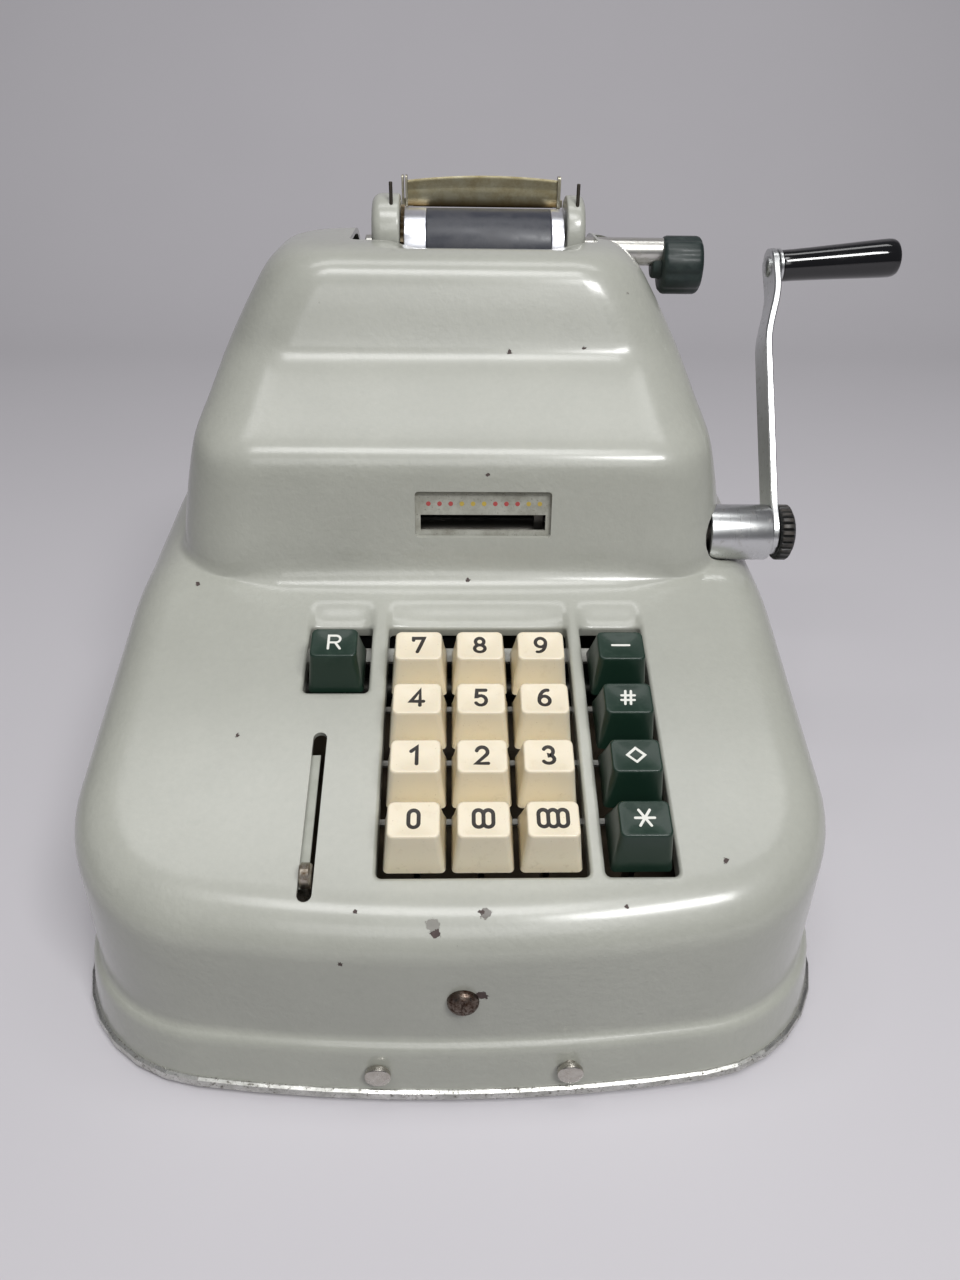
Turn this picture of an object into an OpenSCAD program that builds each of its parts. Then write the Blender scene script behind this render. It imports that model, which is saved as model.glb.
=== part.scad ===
// Hand-cranked printing adding machine with a ten-key board.
// X runs to the crank side, Y to the back, Z up. The feet stand on z = 0.

/* [Case] */
// Width of the case between its side walls
case_w = 227; // [222:1:236]
// Depth of the case between its front and back walls
case_d = 291; // [288:1:300]
// Wall of the pressed case
case_wall = 2; // [1.5:0.25:2.5]
// Corner radius of the case seen from above
case_corner = 46; // [40:1:50]
// Radius of the slight bow of the front wall
front_bow = 520; // [450:10:800]
// Radius of the rounded edge where the front wall meets the deck
edge_front = 10; // [8:1:12]
// Radius of the rounded shoulder beside the hump
edge_rear = 20; // [16:1:22]
// Height where the wall ends and the skirt begins
wall_bottom = 22; // [18:1:26]
// How far the skirt flares out at its foot
skirt_flare = 4.5; // [3:0.25:6]
// Underside of the skirt above the table
skirt_bottom = 5; // [4.5:0.25:6]

/* [Deck] */
// Height of the keyboard deck plane at mid depth of the case
deck_h = 114.1; // [112:0.5:116]
// Slope of the keyboard deck
deck_angle = 20; // [18:0.5:21]
// Distance of the deck's upper end in front of mid depth
deck_end = 20; // [16:1:24]
// Slope of the shoulders beside the hump
shoulder_angle = 8; // [6:0.5:10]
// Depth of the turned-down lip round each opening
lip_h = 6; // [4:0.5:7]
// Corner radius of the openings
opening_r = 1.5; // [0.5:0.25:2]
// Width of the lever slot
slot_w = 4.2; // [3.8:0.1:5]

/* [Hump] */
// Half width of the hump at its foot
hump_half_w = 97.5; // [92:0.5:99]
// Corner radius of the hump seen from above
hump_corner = 24; // [20:1:28]
// Height of the hump's top
hump_top = 206; // [203:0.5:208]
// Width of the cut-out for the printing unit
notch_w = 91; // [88:1:96]
// Front edge of the cut-out behind mid depth
notch_front = 50.5; // [50.5:0.5:52]
// Bottom of the cut-out at the back
notch_bottom = 161; // [158:1:163]
// Width of the sight window
window_w = 46.6; // [44:0.2:48]
// Height of the sight window
window_h = 16; // [14:0.5:17]
// Middle of the sight window to the right of the case's middle
window_x = 10; // [8:0.5:12]
// Middle of the sight window above the table
window_z = 129; // [128:0.5:131]

/* [Keys] */
// Distance between key columns
key_pitch = 19.2; // [19:0.1:20]
// Distance between key rows along the deck
row_pitch = 20.4; // [20:0.1:21]
// Width of a key cap at its skirt
cap_w = 17; // [16:0.25:17.5]
// Depth of a key cap at its skirt
cap_d = 18.4; // [17:0.2:18.8]
// Width of a key cap at its top
cap_top_w = 13.3; // [12:0.1:14]
// Depth of a key cap at its top
cap_top_d = 11; // [10:0.2:13]
// Height of a key cap
cap_h = 14.5; // [13:0.25:15]
// Top of a key cap above the deck
cap_rise = 12.6; // [11:0.1:13]
// Travel of a key
key_travel = 4; // [3:0.25:4.5]
// Gap between a cap and the edge of its opening
cap_gap = 1.9; // [1:0.1:2.5]
// Middle column of the number keys to the right of the case's middle
keys_x = 8.1; // [6:0.1:10]
// Column of the function keys to the right of the case's middle
function_x = 52.7; // [51:0.1:54]
// Column of the repeat key to the left of the case's middle
repeat_x = 37.7; // [36:0.1:40]
// Lowest key row in front of mid depth, along the deck
row_front = 125.2; // [124:0.2:126]
// Width of a key stem
stem_w = 1.8; // [1.5:0.1:2]
// Depth of a key stem
stem_d = 6; // [5:0.25:7]
// Length of a key stem below the deck
stem_l = 44; // [42:1:45]

/* [Crank] */
// Height of the crank shaft above the table
crank_z = 116.2; // [115:0.2:118]
// Crank shaft in front of mid depth
crank_y = 5; // [4:0.5:6]
// Radius of the main shaft
shaft_r = 5; // [4.5:0.1:5.5]
// Radius of the crank hub
hub_r = 10; // [9:0.25:10.5]
// How far the outer face of the crank hub stands out of the case's side
hub_out = 0.1; // [0:0.1:4]
// Gap between the boss of the drive gear and the crank hub
hub_gap = 10.95; // [8:0.05:12]
// Thickness of the crank arm
arm_t = 2.6; // [2:0.2:3.5]
// Width of the crank arm
arm_w = 13; // [11:0.5:15]
// Length of the crank arm between its axes
arm_l = 101; // [95:1:106]
// Lean of the arm back from upright
arm_lean = 36.5; // [30:0.5:42]
// How far the arm's end is set outwards
arm_set = 4.2; // [3:0.2:6]
// Length of the crank grip
grip_l = 46; // [40:1:52]
// Radius of the grip at its outer end
grip_r = 6.9; // [6.2:0.1:8]
// Tilt of the grip up the arm
grip_tilt = 5; // [0:0.5:6]

/* [Printing unit] */
// Middle of the platen to the right of the case's middle
unit_x = 12.8; // [12:0.1:14]
// Platen axis behind mid depth
platen_y = 67; // [67:0.5:68]
// Height of the platen axis above the table
platen_z = 200.4; // [200:0.2:202]
// Radius of the rubber platen
platen_r = 14.5; // [13.5:0.1:14.5]
// Length of the rubber
platen_l = 45.9; // [44:0.1:47]
// Length of the bright ring at the platen's left end
ring_left = 8.3; // [6:0.1:8.5]
// Length of the bright ring at the platen's right end
ring_right = 4.9; // [4:0.1:5]
// Radius of the platen shaft
platen_shaft_r = 5; // [4:0.1:5]
// Thickness of the left cheek
cheek_left_t = 10.4; // [9:0.2:11]
// Thickness of the right cheek
cheek_right_t = 6.9; // [6:0.1:8]
// Top of the cheeks above the platen axis
cheek_rise = 19.4; // [18:0.2:20]
// Left end of the platen knob to the right of the case's middle
knob_x = 79; // [78:0.5:82]
// Length of the platen knob
knob_l = 15.3; // [14:0.1:17]
// Radius of the platen knob
knob_r = 10.5; // [9.5:0.1:11]
// How far the knob hangs below the platen axis
knob_drop = 4.7; // [3:0.1:5]
// Highest point of the tear bar above the table
tear_top = 225; // [223:0.5:227]

/* [Mechanism] */
// Outer face of each side frame from the case's middle
frame_x = 73.25; // [72:0.25:74]
// Thickness of the side frames
frame_t = 2.5; // [2:0.25:3]
// Module of the gear teeth
gear_module = 1.2; // [1.1:0.05:1.25]
// Teeth of the drive gear
drive_teeth = 20; // [18:1:20]
// Teeth of the cam gear
cam_teeth = 30; // [28:1:32]
// Width of the gears
gear_w = 4; // [3.5:0.5:4.5]
// Number of type bars
bar_count = 10; // [8:1:11]
// Distance between type bars
bar_pitch = 4.2; // [4:0.1:4.4]
// Rise of the type bars to the printing line
bar_rise = 25; // [20:1:26]
// Travel of the pin carriage
carriage_travel = 41; // [36:1:42]
// Radius of the tie rods
rod_r = 4; // [3:0.25:4.5]

/* [Base] */
// Radius of a rubber foot
foot_r = 8; // [7:0.5:9]
// Thickness of the base pan
pan_t = 2; // [1.5:0.25:2.5]
// Height of the bright trim
trim_h = 3.4; // [3:0.1:4]
// How far the trim stands out of the skirt's foot
trim_out = 1.7; // [1:0.1:2]

/* [Hidden] */
digit_names = ["0", "00", "000", "1", "2", "3", "4", "5", "6", "7", "8", "9"];

$fn = 48;
eps = 0.01;
fit = 0.04;
play = 0.15;
clear = 0.3;

half_w = case_w / 2;
half_d = case_d / 2;
hub_end = half_w + hub_out;
trim_x = half_w + skirt_flare + trim_out;
arm_end = hub_end + arm_t + arm_set;
grip_end = arm_end + (grip_l + 1.5) * cos(grip_tilt);
// The origin lies under the middle of the whole machine with its crank.
frame_shift = -(grip_end - trim_x) / 2;

module placed() {
  translate([frame_shift, 0, 0]) children();
}

// Outline of the case seen from above: [x, y, outward x, outward y] of each point,
// anticlockwise from the middle of the front.
bow_y = -half_d + front_bow;
corner_x = half_w - case_corner;
front_corner_y = bow_y - sqrt(pow(front_bow - case_corner, 2) - pow(corner_x, 2));
rear_corner_y = half_d - case_corner;
bow_angle = asin(corner_x / (front_bow - case_corner));
bow_steps = 4;
corner_steps = 7;
shoulder_end = 50;

function arc_points(cx, cy, r, a0, a1, n) = [
  for (i = [0:n]) let (a = a0 + (a1 - a0) * i / n) [cx + r * cos(a), cy + r * sin(a), cos(a), sin(a)]
];

// Half of the outline, from the middle of the front round the right side to the middle of the back.
side_y = concat(
  [for (i = [1:3]) front_corner_y + (-deck_end - front_corner_y) * i / 3],
  [for (i = [1:3]) -deck_end + (shoulder_end + deck_end) * i / 3],
  [(shoulder_end + rear_corner_y) / 2]
);
front_corner = arc_points(corner_x, front_corner_y, case_corner, -90 + bow_angle, 0, corner_steps);
half_outline = concat(
  arc_points(0, bow_y, front_bow, -90, -90 + bow_angle, bow_steps),
  [for (i = [1:corner_steps]) front_corner[i]],
  [for (y = side_y) [half_w, y, 1, 0]],
  arc_points(corner_x, rear_corner_y, case_corner, 0, 90, corner_steps),
  [[0, half_d, 0, 1]]
);
last = len(half_outline) - 1;
case_outline = concat(
  half_outline,
  [for (i = [last - 1:-1:1]) let (p = half_outline[i]) [-p[0], p[1], -p[2], p[3]]]
);

function offset_outline(d) = [for (p = case_outline) [p[0] + p[2] * d, p[1] + p[3] * d]];

// Top surface of the lower body: the deck, the shoulders and the flatter part behind.
rear_angle = 3;
fold_z = deck_h - deck_end * tan(deck_angle);
function deck_z(y) = deck_h + y * tan(deck_angle);
function shoulder_z(y) = fold_z + (y + deck_end) * tan(shoulder_angle);
function top_z(y) = y < -deck_end ? deck_z(y)
  : y < shoulder_end ? shoulder_z(y)
  : shoulder_z(shoulder_end) + (y - shoulder_end) * tan(rear_angle);
function edge_r(y) = y > 0 ? edge_rear : edge_front + (edge_rear - edge_front) * (y + half_d) / half_d;

// Closed body through rings of points that all have the same count. A mirrored lid is made of level strips.
module skin(rings, closed = false, mirrored = false) {
  n = len(rings[0]);
  m = len(rings);
  last = closed ? m - 1 : m - 2;
  sides = [
    for (j = [0:last]) for (i = [0:n - 1])
      let (
        k = (i + 1) % n,
        a = j * n + i,
        b = j * n + k,
        c = ((j + 1) % m) * n + k,
        d = ((j + 1) % m) * n + i
      )
        each [[a, c, b], [a, d, c]]
  ];
  caps = closed ? [] : [
    [for (i = [0:n - 1]) i],
    each mirrored
      ? [for (i = [0:n / 2 - 1])
          let (t = (m - 1) * n, r0 = t + i, r1 = t + i + 1, l0 = t + (n - i) % n, l1 = t + n - i - 1)
          each (i == 0 ? [[r0, l1, r1]] : i == n / 2 - 1 ? [[l0, r1, r0]] : [[l0, l1, r1], [l0, r1, r0]])]
      : [[for (i = [0:n - 1]) (m - 1) * n + n - 1 - i]]
  ];
  polyhedron(points = [for (r = rings) each r], faces = concat(sides, caps), convexity = 8);
}

// One ring of the lower body, set in by d, at the angle a of the rounded edge.
function edge_ring(d, a) = [
  for (p = case_outline)
    let (
      r = edge_r(p[1]),
      inset = d + (r - d) * (1 - cos(a)),
      x = p[0] - p[2] * inset,
      y = p[1] - p[3] * inset
    ) [x, y, top_z(y) - d - (r - d) * (1 - sin(a))]
];
function flat_ring(outset, z) = [for (p = offset_outline(outset)) [p[0], p[1], z]];

module lower_body(d, low_rings) {
  skin(concat(low_rings, [for (a = [0:15:90]) edge_ring(d, a)]), mirrored = true);
}

// Rings of the hump: [height above the table, half width beside hump_half_w, front y, back y, corner].
hump_rows = [
  [98, 4.5, -29.5, 129, 6], [102, 1.9, -25.8, 128.5, 3], [106, 0.5, -23.4, 128, 1], [111, 0, -22, 127, 0],
  [128, -2.2, -20, 123, 0], [144, -5.5, -18, 118.5, 0], [149, -6.7, -15.5, 117, 0],
  [153, -7.9, -10.5, 116, 0], [158, -9.8, -4, 114, 0], [166, -12.5, 7, 111.5, 0],
  [171, -14.3, 13.5, 110, 0], [175, -16.1, 16.5, 108.5, 0],
  [182, -19.8, 19, 106, 0], [192, -25.5, 22.5, 101, 0], [199, -30, 25.5, 96.5, 0], [203, -34.5, 29.5, 92, -2],
  [205.2, -39.5, 35, 86, -5], [206, -47, 42, 80, -9]
];
// Heights that the rows were drawn for; other heights stretch them.
hump_ref_top = 206;
hump_ref_foot = 98;
hump_stretch = (hump_top - hump_ref_foot) / (hump_ref_top - hump_ref_foot);
function hump_level(z) = hump_ref_foot + (z - hump_ref_foot) * hump_stretch;
corner_fan = 6;
function hump_ring(row, d) =
  let (
    z = hump_level(row[0]),
    w = hump_half_w + row[1] - d,
    y0 = row[2] + d,
    y1 = row[3] - d,
    r = hump_corner + row[4] - d,
    spots = [[w - r, y0 + r, -90], [w - r, y1 - r, 0], [r - w, y1 - r, 90], [r - w, y0 + r, 180]]
  ) [
    for (s = spots) for (i = [0:corner_fan])
      let (a = s[2] + 90 * i / corner_fan) [s[0] + r * cos(a), s[1] + r * sin(a), z]
  ];
module hump_body(d) {
  rings = [for (row = hump_rows) hump_ring(row, d)];
  lid = [for (p = rings[len(rings) - 1]) [p[0], p[1], p[2] - d]];
  rows = len(rings) - 1;
  // The upper rings of the inner body are held under its lid.
  body = [
    for (j = [0:rows - 1]) [for (p = rings[j]) [p[0], p[1], min(p[2], hump_top - d - (rows - j) * 0.3)]]
  ];
  skin(concat(body, [lid]));
}

module x_rod(x, y, z, r, l) {
  translate([x, y, z]) rotate([0, 90, 0]) cylinder(r = r, h = l);
}

// Places on the deck: x, distance s along the slope from mid depth, height above the deck plane.
module on_deck(x = 0, s = 0, h = 0) {
  translate([0, 0, deck_h]) rotate([deck_angle, 0, 0]) translate([x, s, h]) children();
}
module rounded_block(w, l, h, r) {
  hull() for (sx = [-1, 1], sy = [-1, 1])
    translate([sx * (w / 2 - r), sy * (l / 2 - r), 0]) cylinder(r = r, h = h, $fn = 16);
}

row_s = [for (i = [0:3]) -row_front + i * row_pitch];
repeat_s = row_s[3] + 1.2;
scoop_l = 10;
scoop_r = 5.5;
scoop_side = 5;
open_front = row_s[0] - cap_d / 2 - cap_gap;
open_rear = row_s[3] + cap_d / 2 + scoop_l;
number_w = 2 * key_pitch + cap_w + 2 * cap_gap + 0.6;
function_w = cap_w + 2 * cap_gap;
repeat_open_front = repeat_s - cap_d / 2 - cap_gap / 2;
// Openings of the deck: [middle x, width, front s, rear s].
openings = [
  [keys_x, number_w, open_front, open_rear],
  [function_x, function_w, open_front, open_rear],
  [-repeat_x, function_w, repeat_open_front, open_rear]
];

// Correction lever in its slot left of the keys: places along the deck.
slot_x = -40.9;
lever_t = 3.2;
lever_l = 7;
lever_rest = -135.5;
lever_travel = 42;
lever_top = 4.2;
lever_slide_h = -12;
lever_slide = [8, 10, 5];
slot_front = lever_rest - lever_l / 2 - 4.3;
slot_rear = lever_rest + lever_travel + lever_l / 2 + 1.7;
cut_deep = 20;

module opening_cut(o, grow, h0, h1) {
  on_deck(o[0], (o[2] + o[3]) / 2, h0)
    rounded_block(o[1] + 2 * grow, o[3] - o[2] + 2 * grow, h1 - h0, opening_r + grow);
}
// Hollow that lets a finger in behind the last key row.
module scoop(o, grow) {
  hull() for (side = [-1, 1])
    on_deck(o[0] + side * (o[1] / 2 - scoop_side), o[3] + 1, 1) sphere(r = scoop_r + grow, $fn = 24);
}

lip_t = 1.5;
hub_hole = hub_r + 1.2;
screw_x = 2.5;
screw_z = 37.8;
lock_r = 2.2;
// The cut-out reaches further to the left of the unit than to its right.
notch_shift = -5.3;
notch_x = unit_x + notch_shift;
window_r = 1;
thumb_r = 36;
skirt_head = 0.62;
skirt_neck = 0.5;
skirt_fold = 0.4;

module case_cover() {
  color([0.68, 0.70, 0.64]) placed() difference() {
    union() {
      difference() {
        union() {
          lower_body(0, [
            flat_ring(skirt_flare, skirt_bottom), flat_ring(skirt_flare * skirt_head, wall_bottom - 3.4),
            flat_ring(skirt_flare * skirt_neck, wall_bottom - 2),
            flat_ring(skirt_fold, wall_bottom - skirt_fold), flat_ring(0, wall_bottom + 1.2)
          ]);
          hump_body(0);
        }
        lower_body(case_wall, [
          flat_ring(skirt_flare - case_wall, skirt_bottom - 1),
          flat_ring(skirt_flare * skirt_head - case_wall, wall_bottom - 4),
          flat_ring(-case_wall, wall_bottom - 0.5)
        ]);
        hump_body(case_wall);
      }
      for (o = openings) opening_cut(o, lip_t, -lip_h, -case_wall / 2);
      for (o = openings) intersection() {
        scoop(o, case_wall);
        on_deck(o[0] - o[1], o[3] - 1, -2 * case_wall - 6) cube([2 * o[1], 12, 2 * case_wall + 5.5]);
      }
    }
    for (o = openings) opening_cut(o, 0, -cut_deep, cut_deep);
    for (o = openings) scoop(o, 0);
    on_deck(slot_x, 0, -cut_deep) hull() {
      for (s = [slot_front + slot_w / 2, slot_rear - slot_w / 2])
        translate([0, s, 0]) cylinder(d = slot_w, h = 2 * cut_deep, $fn = 24);
    }
    translate([window_x, -2 * deck_end, window_z]) rotate([-90, 0, 0])
      rounded_block(window_w, window_h, deck_end * 1.7, window_r);
    translate([notch_x - notch_w / 2, notch_front, notch_bottom]) cube([notch_w, case_d, hump_top]);
    translate([notch_x, notch_front, hump_top]) scale([1, 0.4, case_wall * 0.6 / thumb_r])
      sphere(r = thumb_r, $fn = 40);
    translate([hump_half_w - 9, -crank_y, crank_z]) rotate([0, 90, 0]) cylinder(r = hub_hole, h = half_w);
    translate([0, platen_y, platen_z]) rotate([0, 90, 0]) cylinder(r = platen_shaft_r + 2.5, h = half_w);
    translate([screw_x, -half_d - 5, screw_z]) rotate([-90, 0, 0])
      cylinder(r = lock_r + clear, h = 10, $fn = 24);
  }
}

pan_z = skirt_bottom;
floor_z = pan_z + pan_t;
foot_x = half_w - case_corner / 2;
foot_y = half_d - case_corner / 2 - 4;
pan_gap = 0.4;
pan_flange = 9;
// The pan's edge beside the outline of the case.
pan_edge = skirt_flare * 0.6 - case_wall - pan_gap;
lock_tab_t = 2;
lock_tab_w = 16;
lock_tab_y = -half_d + 7;

module outline_slab(outset, z0, z1) {
  translate([0, 0, z0]) linear_extrude(z1 - z0) polygon(offset_outline(outset));
}

module base_pan() {
  color([0.30, 0.31, 0.31]) placed() difference() {
    union() {
      difference() {
        outline_slab(pan_edge, pan_z, pan_z + pan_flange);
        outline_slab(pan_edge - pan_t, floor_z, pan_z + pan_flange + 1);
      }
      translate([screw_x - lock_tab_w / 2, lock_tab_y, floor_z - eps])
        cube([lock_tab_w, lock_tab_t, screw_z + 6 - floor_z]);
    }
    translate([screw_x, lock_tab_y - 1, screw_z]) rotate([-90, 0, 0])
      cylinder(r = lock_r, h = lock_tab_t + 2);
    for (sx = [-1, 1], sy = [-1, 1]) translate([sx * foot_x, sy * foot_y, pan_z - 1])
      cylinder(r = screw_r, h = pan_t + 2);
  }
}

module base_trim() {
  lip = skirt_flare + trim_out;
  inner = pan_edge - 3;
  low = pan_z - trim_h;
  color([0.78, 0.78, 0.76]) placed() skin([
    flat_ring(inner, pan_z), flat_ring(lip - 1.2, pan_z), flat_ring(lip - 0.35, pan_z - 0.45),
    flat_ring(lip, pan_z - 1.4),
    flat_ring(lip - 0.2, low + 0.6), flat_ring(lip - 1, low), flat_ring(inner, low)
  ], closed = true);
}

foot_h = pan_z;
screw_r = 2;
screw_head_r = 3.6;
screw_head_h = 2.2;
module rubber_feet() {
  color([0.10, 0.10, 0.10]) placed() for (sx = [-1, 1], sy = [-1, 1]) translate([sx * foot_x, sy * foot_y, 0])
    difference() {
      rotate_extrude() polygon([[0, 0], [foot_r - 1, 0], [foot_r, 1], [foot_r - 0.6, foot_h], [0, foot_h]]);
      translate([0, 0, foot_h - 3]) cylinder(r = screw_r, h = 4);
    }
}

// Tie rods: [y, z]. Two of them also carry the cheeks of the printing unit.
unit_rod_z = 155;
rods = [[-122, 20], [108, 30], [-8, 50], [platen_y - 5, unit_rod_z], [platen_y + 21, unit_rod_z]];
frame_inner = frame_x - frame_t;
module screw_x_axis(side, y, z) {
  translate([side * frame_x, y, z]) rotate([0, side * 90, 0]) difference() {
    union() {
      translate([0, 0, -frame_t - 6]) cylinder(r = screw_r, h = frame_t + 6 + eps);
      cylinder(r = screw_head_r, h = screw_head_h);
    }
    translate([-screw_head_r, -0.5, screw_head_h - 0.9]) cube([2 * screw_head_r, 1, 2]);
  }
}
module chassis_screws() {
  color([0.72, 0.72, 0.70]) placed() {
    for (side = [-1, 1], r = rods) screw_x_axis(side, r[0], r[1]);
    for (sx = [-1, 1], sy = [-1, 1]) translate([sx * foot_x, sy * foot_y, foot_h - 3]) {
      cylinder(r = screw_r, h = 3 + pan_t);
      translate([0, 0, 3 + pan_t]) cylinder(r = screw_head_r, h = screw_head_h);
    }
  }
}

module frame_tie_rods() {
  color([0.66, 0.66, 0.64]) placed() for (r = rods) translate([-frame_inner, r[0], r[1]])
    rotate([0, 90, 0]) difference() {
    cylinder(r = rod_r, h = 2 * frame_inner);
    for (z = [-1, 2 * frame_inner - 6]) translate([0, 0, z]) cylinder(r = screw_r, h = 7);
  }
}

cover_gap = 1.6;
frame_profile = [
  [-136, floor_z], [-137, 40], [-128, deck_z(-128) - case_wall - cover_gap],
  [-deck_end - 4, deck_z(-deck_end - 4) - case_wall - cover_gap], [-deck_end + 7, 106], [-deck_end + 9, 138],
  [-6, 148], [8, 155], [28, 172], [94, 172], [103, 160], [112, 125], [114, floor_z]
];
mesh_angle = -20;
gear_distance = gear_module * (drive_teeth + cam_teeth) / 2;
cam_y = -crank_y + gear_distance * cos(mesh_angle);
cam_z = crank_z + gear_distance * sin(mesh_angle);
wheel_y = 62;
wheel_z = 112;
wheel_shaft_r = 3;
bush_wall = 3;

frame_flange = 9;
// Holes that make the frames lighter: [y, z, radius].
frame_holes = [[-70, 45, 14], [-30, 70, 12], [70, 60, 13]];
module frame_bore(side, y, z, r) {
  x_rod(side * frame_x - 1.5 * frame_t, y, z, r, 3 * frame_t);
}
module side_frame(side) {
  difference() {
    union() {
      translate([side > 0 ? frame_inner : -frame_x, 0, 0]) rotate([90, 0, 90])
        linear_extrude(frame_t) polygon(frame_profile);
      translate([side > 0 ? frame_inner - frame_flange : -frame_inner, -126, floor_z])
        cube([frame_flange, 230, frame_t]);
    }
    for (r = rods) frame_bore(side, r[0], r[1], screw_r);
    frame_bore(side, -crank_y, crank_z, shaft_r + bush_wall);
    frame_bore(side, cam_y, cam_z, shaft_r + fit);
    frame_bore(side, wheel_y, wheel_z, wheel_shaft_r + fit);
    for (hole = frame_holes) frame_bore(side, hole[0], hole[1], hole[2]);
  }
}
module side_frame_left() { color([0.55, 0.57, 0.57]) placed() side_frame(-1); }
module side_frame_right() { color([0.55, 0.57, 0.57]) placed() side_frame(1); }

// Screw that holds the cover to the tab of the base pan.
lock_head_r = 4.5;
lock_dome = 2.8;
module cover_lock_screw() {
  color([0.20, 0.18, 0.16]) placed() translate([screw_x, -half_d - 0.1, screw_z]) rotate([-90, 0, 0]) {
    difference() {
      rotate_extrude() polygon(concat(
        [[0, 0], [lock_head_r, 0]],
        [for (a = [0:15:90]) [lock_head_r * cos(a), -0.4 - lock_dome * sin(a)]]
      ));
      translate([-0.5, -lock_head_r, -4]) cube([1, 2 * lock_head_r, 1.6]);
    }
    cylinder(r = lock_r, h = 12);
  }
}

stud_r = 3.75;
stud_head = 2.6;
stud_neck_r = 2;
stud_l = 5.5;
stud_stand = 1.7;
studs = [[-21.8, 12], [33.4, 12.4]];
module skirt_studs() {
  color([0.74, 0.73, 0.70]) placed() for (s = studs)
    translate([s[0], -half_d - skirt_flare - stud_stand, s[1]]) rotate([-90, 0, 0]) rotate_extrude()
      polygon([
        [0, 0], [stud_r - 0.9, 0], [stud_r, 0.7], [stud_r, stud_head], [stud_neck_r, stud_head],
        [stud_neck_r, stud_l], [0, stud_l]
      ]);
}

// Keyboard.
cap_bottom = cap_rise - cap_h;
stem_seat = cap_rise - 5.5;
function digit_row(i) = i < 3 ? 0 : 1 + floor((i - 3) / 3);
function digit_col(i) = i < 3 ? i - 1 : (i - 3) % 3 - 1;
bars_h = -9;
bars_t = 1.2;
plate_h = -36;
plate_t = 1.5;
comb_h = -stem_l - key_travel - 4;

module cap_shape(shrink) {
  hull() {
    for (sx = [-1, 1], sy = [-1, 1]) {
      translate([sx * (cap_w / 2 - shrink - 1.2), sy * (cap_d / 2 - shrink - 1.2), cap_bottom])
        cylinder(r = 1.2, h = 1, $fn = 16);
      translate([
        sx * (cap_top_w / 2 - shrink - 1.6),
        sy * (cap_top_d / 2 - shrink - 1.6),
        cap_rise - shrink - 1.2
      ])
        cylinder(r1 = 1.6, r2 = 1, h = 1.2, $fn = 16);
    }
  }
}
module key(x, s) {
  placed() on_deck(x, s) {
    difference() {
      cap_shape(0);
      translate([-cap_w / 2 + 2.6, -cap_d / 2 + 4, cap_bottom - 1])
        cube([cap_w - 5.2, cap_d - 8, stem_seat - cap_bottom + 1]);
    }
    translate([-stem_w / 2, -stem_d / 2, -stem_l]) cube([stem_w, stem_d, stem_l + stem_seat]);
  }
}
module digit_key(i) {
  color([0.93, 0.89, 0.76]) key(keys_x + digit_col(i) * key_pitch, row_s[digit_row(i)]);
}
module green_key(x, s) {
  color([0.05, 0.16, 0.12]) key(x, s);
}
key_spots = concat(
  [for (i = [0:11]) [keys_x + digit_col(i) * key_pitch, row_s[digit_row(i)]]],
  [for (s = row_s) [function_x, s]],
  [[-repeat_x, repeat_s]]
);

// Grid of cross bars between the key rows. The three front bars stop short of the correction lever's way.
guide_bar_d = 1.8;
guide_rail_w = 4;
lever_side = slot_x + lever_slide[0] / 2 + 1;
function guide_bar_s(i) = row_s[0] + (i - 0.5) * row_pitch - guide_bar_d / 2;
module guide_rail(x, first) {
  translate([x, guide_bar_s(first), 0])
    cube([guide_rail_w, guide_bar_s(4) - guide_bar_s(first) + guide_bar_d, bars_t]);
}
module key_guide_bars() {
  color([0.70, 0.71, 0.66]) placed() on_deck(0, 0, bars_h) {
    for (i = [0:4]) {
      left = i < 3 ? lever_side : -frame_inner;
      translate([left, guide_bar_s(i), 0]) cube([frame_inner - left, guide_bar_d, bars_t]);
    }
    guide_rail(frame_inner - guide_rail_w, 0);
    guide_rail(-frame_inner, 3);
    translate([lever_side, guide_bar_s(0), 0])
      cube([guide_rail_w / 2, guide_bar_s(3) - guide_bar_s(0) + guide_bar_d, bars_t]);
  }
}
module key_guide_plate() {
  color([0.62, 0.63, 0.62]) placed() on_deck(0, 0, plate_h) difference() {
    translate([-frame_inner, row_s[0] - 12, 0]) cube([2 * frame_inner, row_s[3] - row_s[0] + 22, plate_t]);
    for (k = key_spots) translate([k[0] - stem_w / 2 - play, k[1] - stem_d / 2 - play, -1])
      cube([stem_w + 2 * play, stem_d + 2 * play, plate_t + 2]);
  }
}
// Leaf springs that push the stems back up, drawn in their pressed position.
module key_spring_comb() {
  leaf_t = 0.8;
  color([0.40, 0.42, 0.46]) placed() on_deck(0, 0, comb_h) {
    translate([-frame_inner, row_s[0] - 14, 0]) cube([2 * frame_inner, row_s[3] - row_s[0] + 28, leaf_t]);
    for (k = key_spots) translate([k[0] - 2, k[1] - 4, leaf_t - eps]) cube([4, 8, 2.4]);
  }
}

// Lever that clears a wrong entry, on the slide that carries it under the deck.
module correction_lever() {
  color([0.70, 0.68, 0.64]) placed() on_deck(slot_x, lever_rest, 0) {
    translate([-lever_t / 2, 0, 0]) rotate([90, 0, 90]) linear_extrude(lever_t)
      polygon([
        [-lever_l / 2, lever_slide_h], [lever_l / 2, lever_slide_h], [lever_l / 2, 0.5],
        [lever_l / 2 - 1.5, lever_top - 0.8],
        [0, lever_top], [-1.6, lever_top - 0.6], [-lever_l / 2, 0]
      ]);
    translate([-lever_slide[0] / 2, -lever_slide[1] / 2, lever_slide_h - lever_slide[2]]) cube(lever_slide);
  }
}

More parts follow.
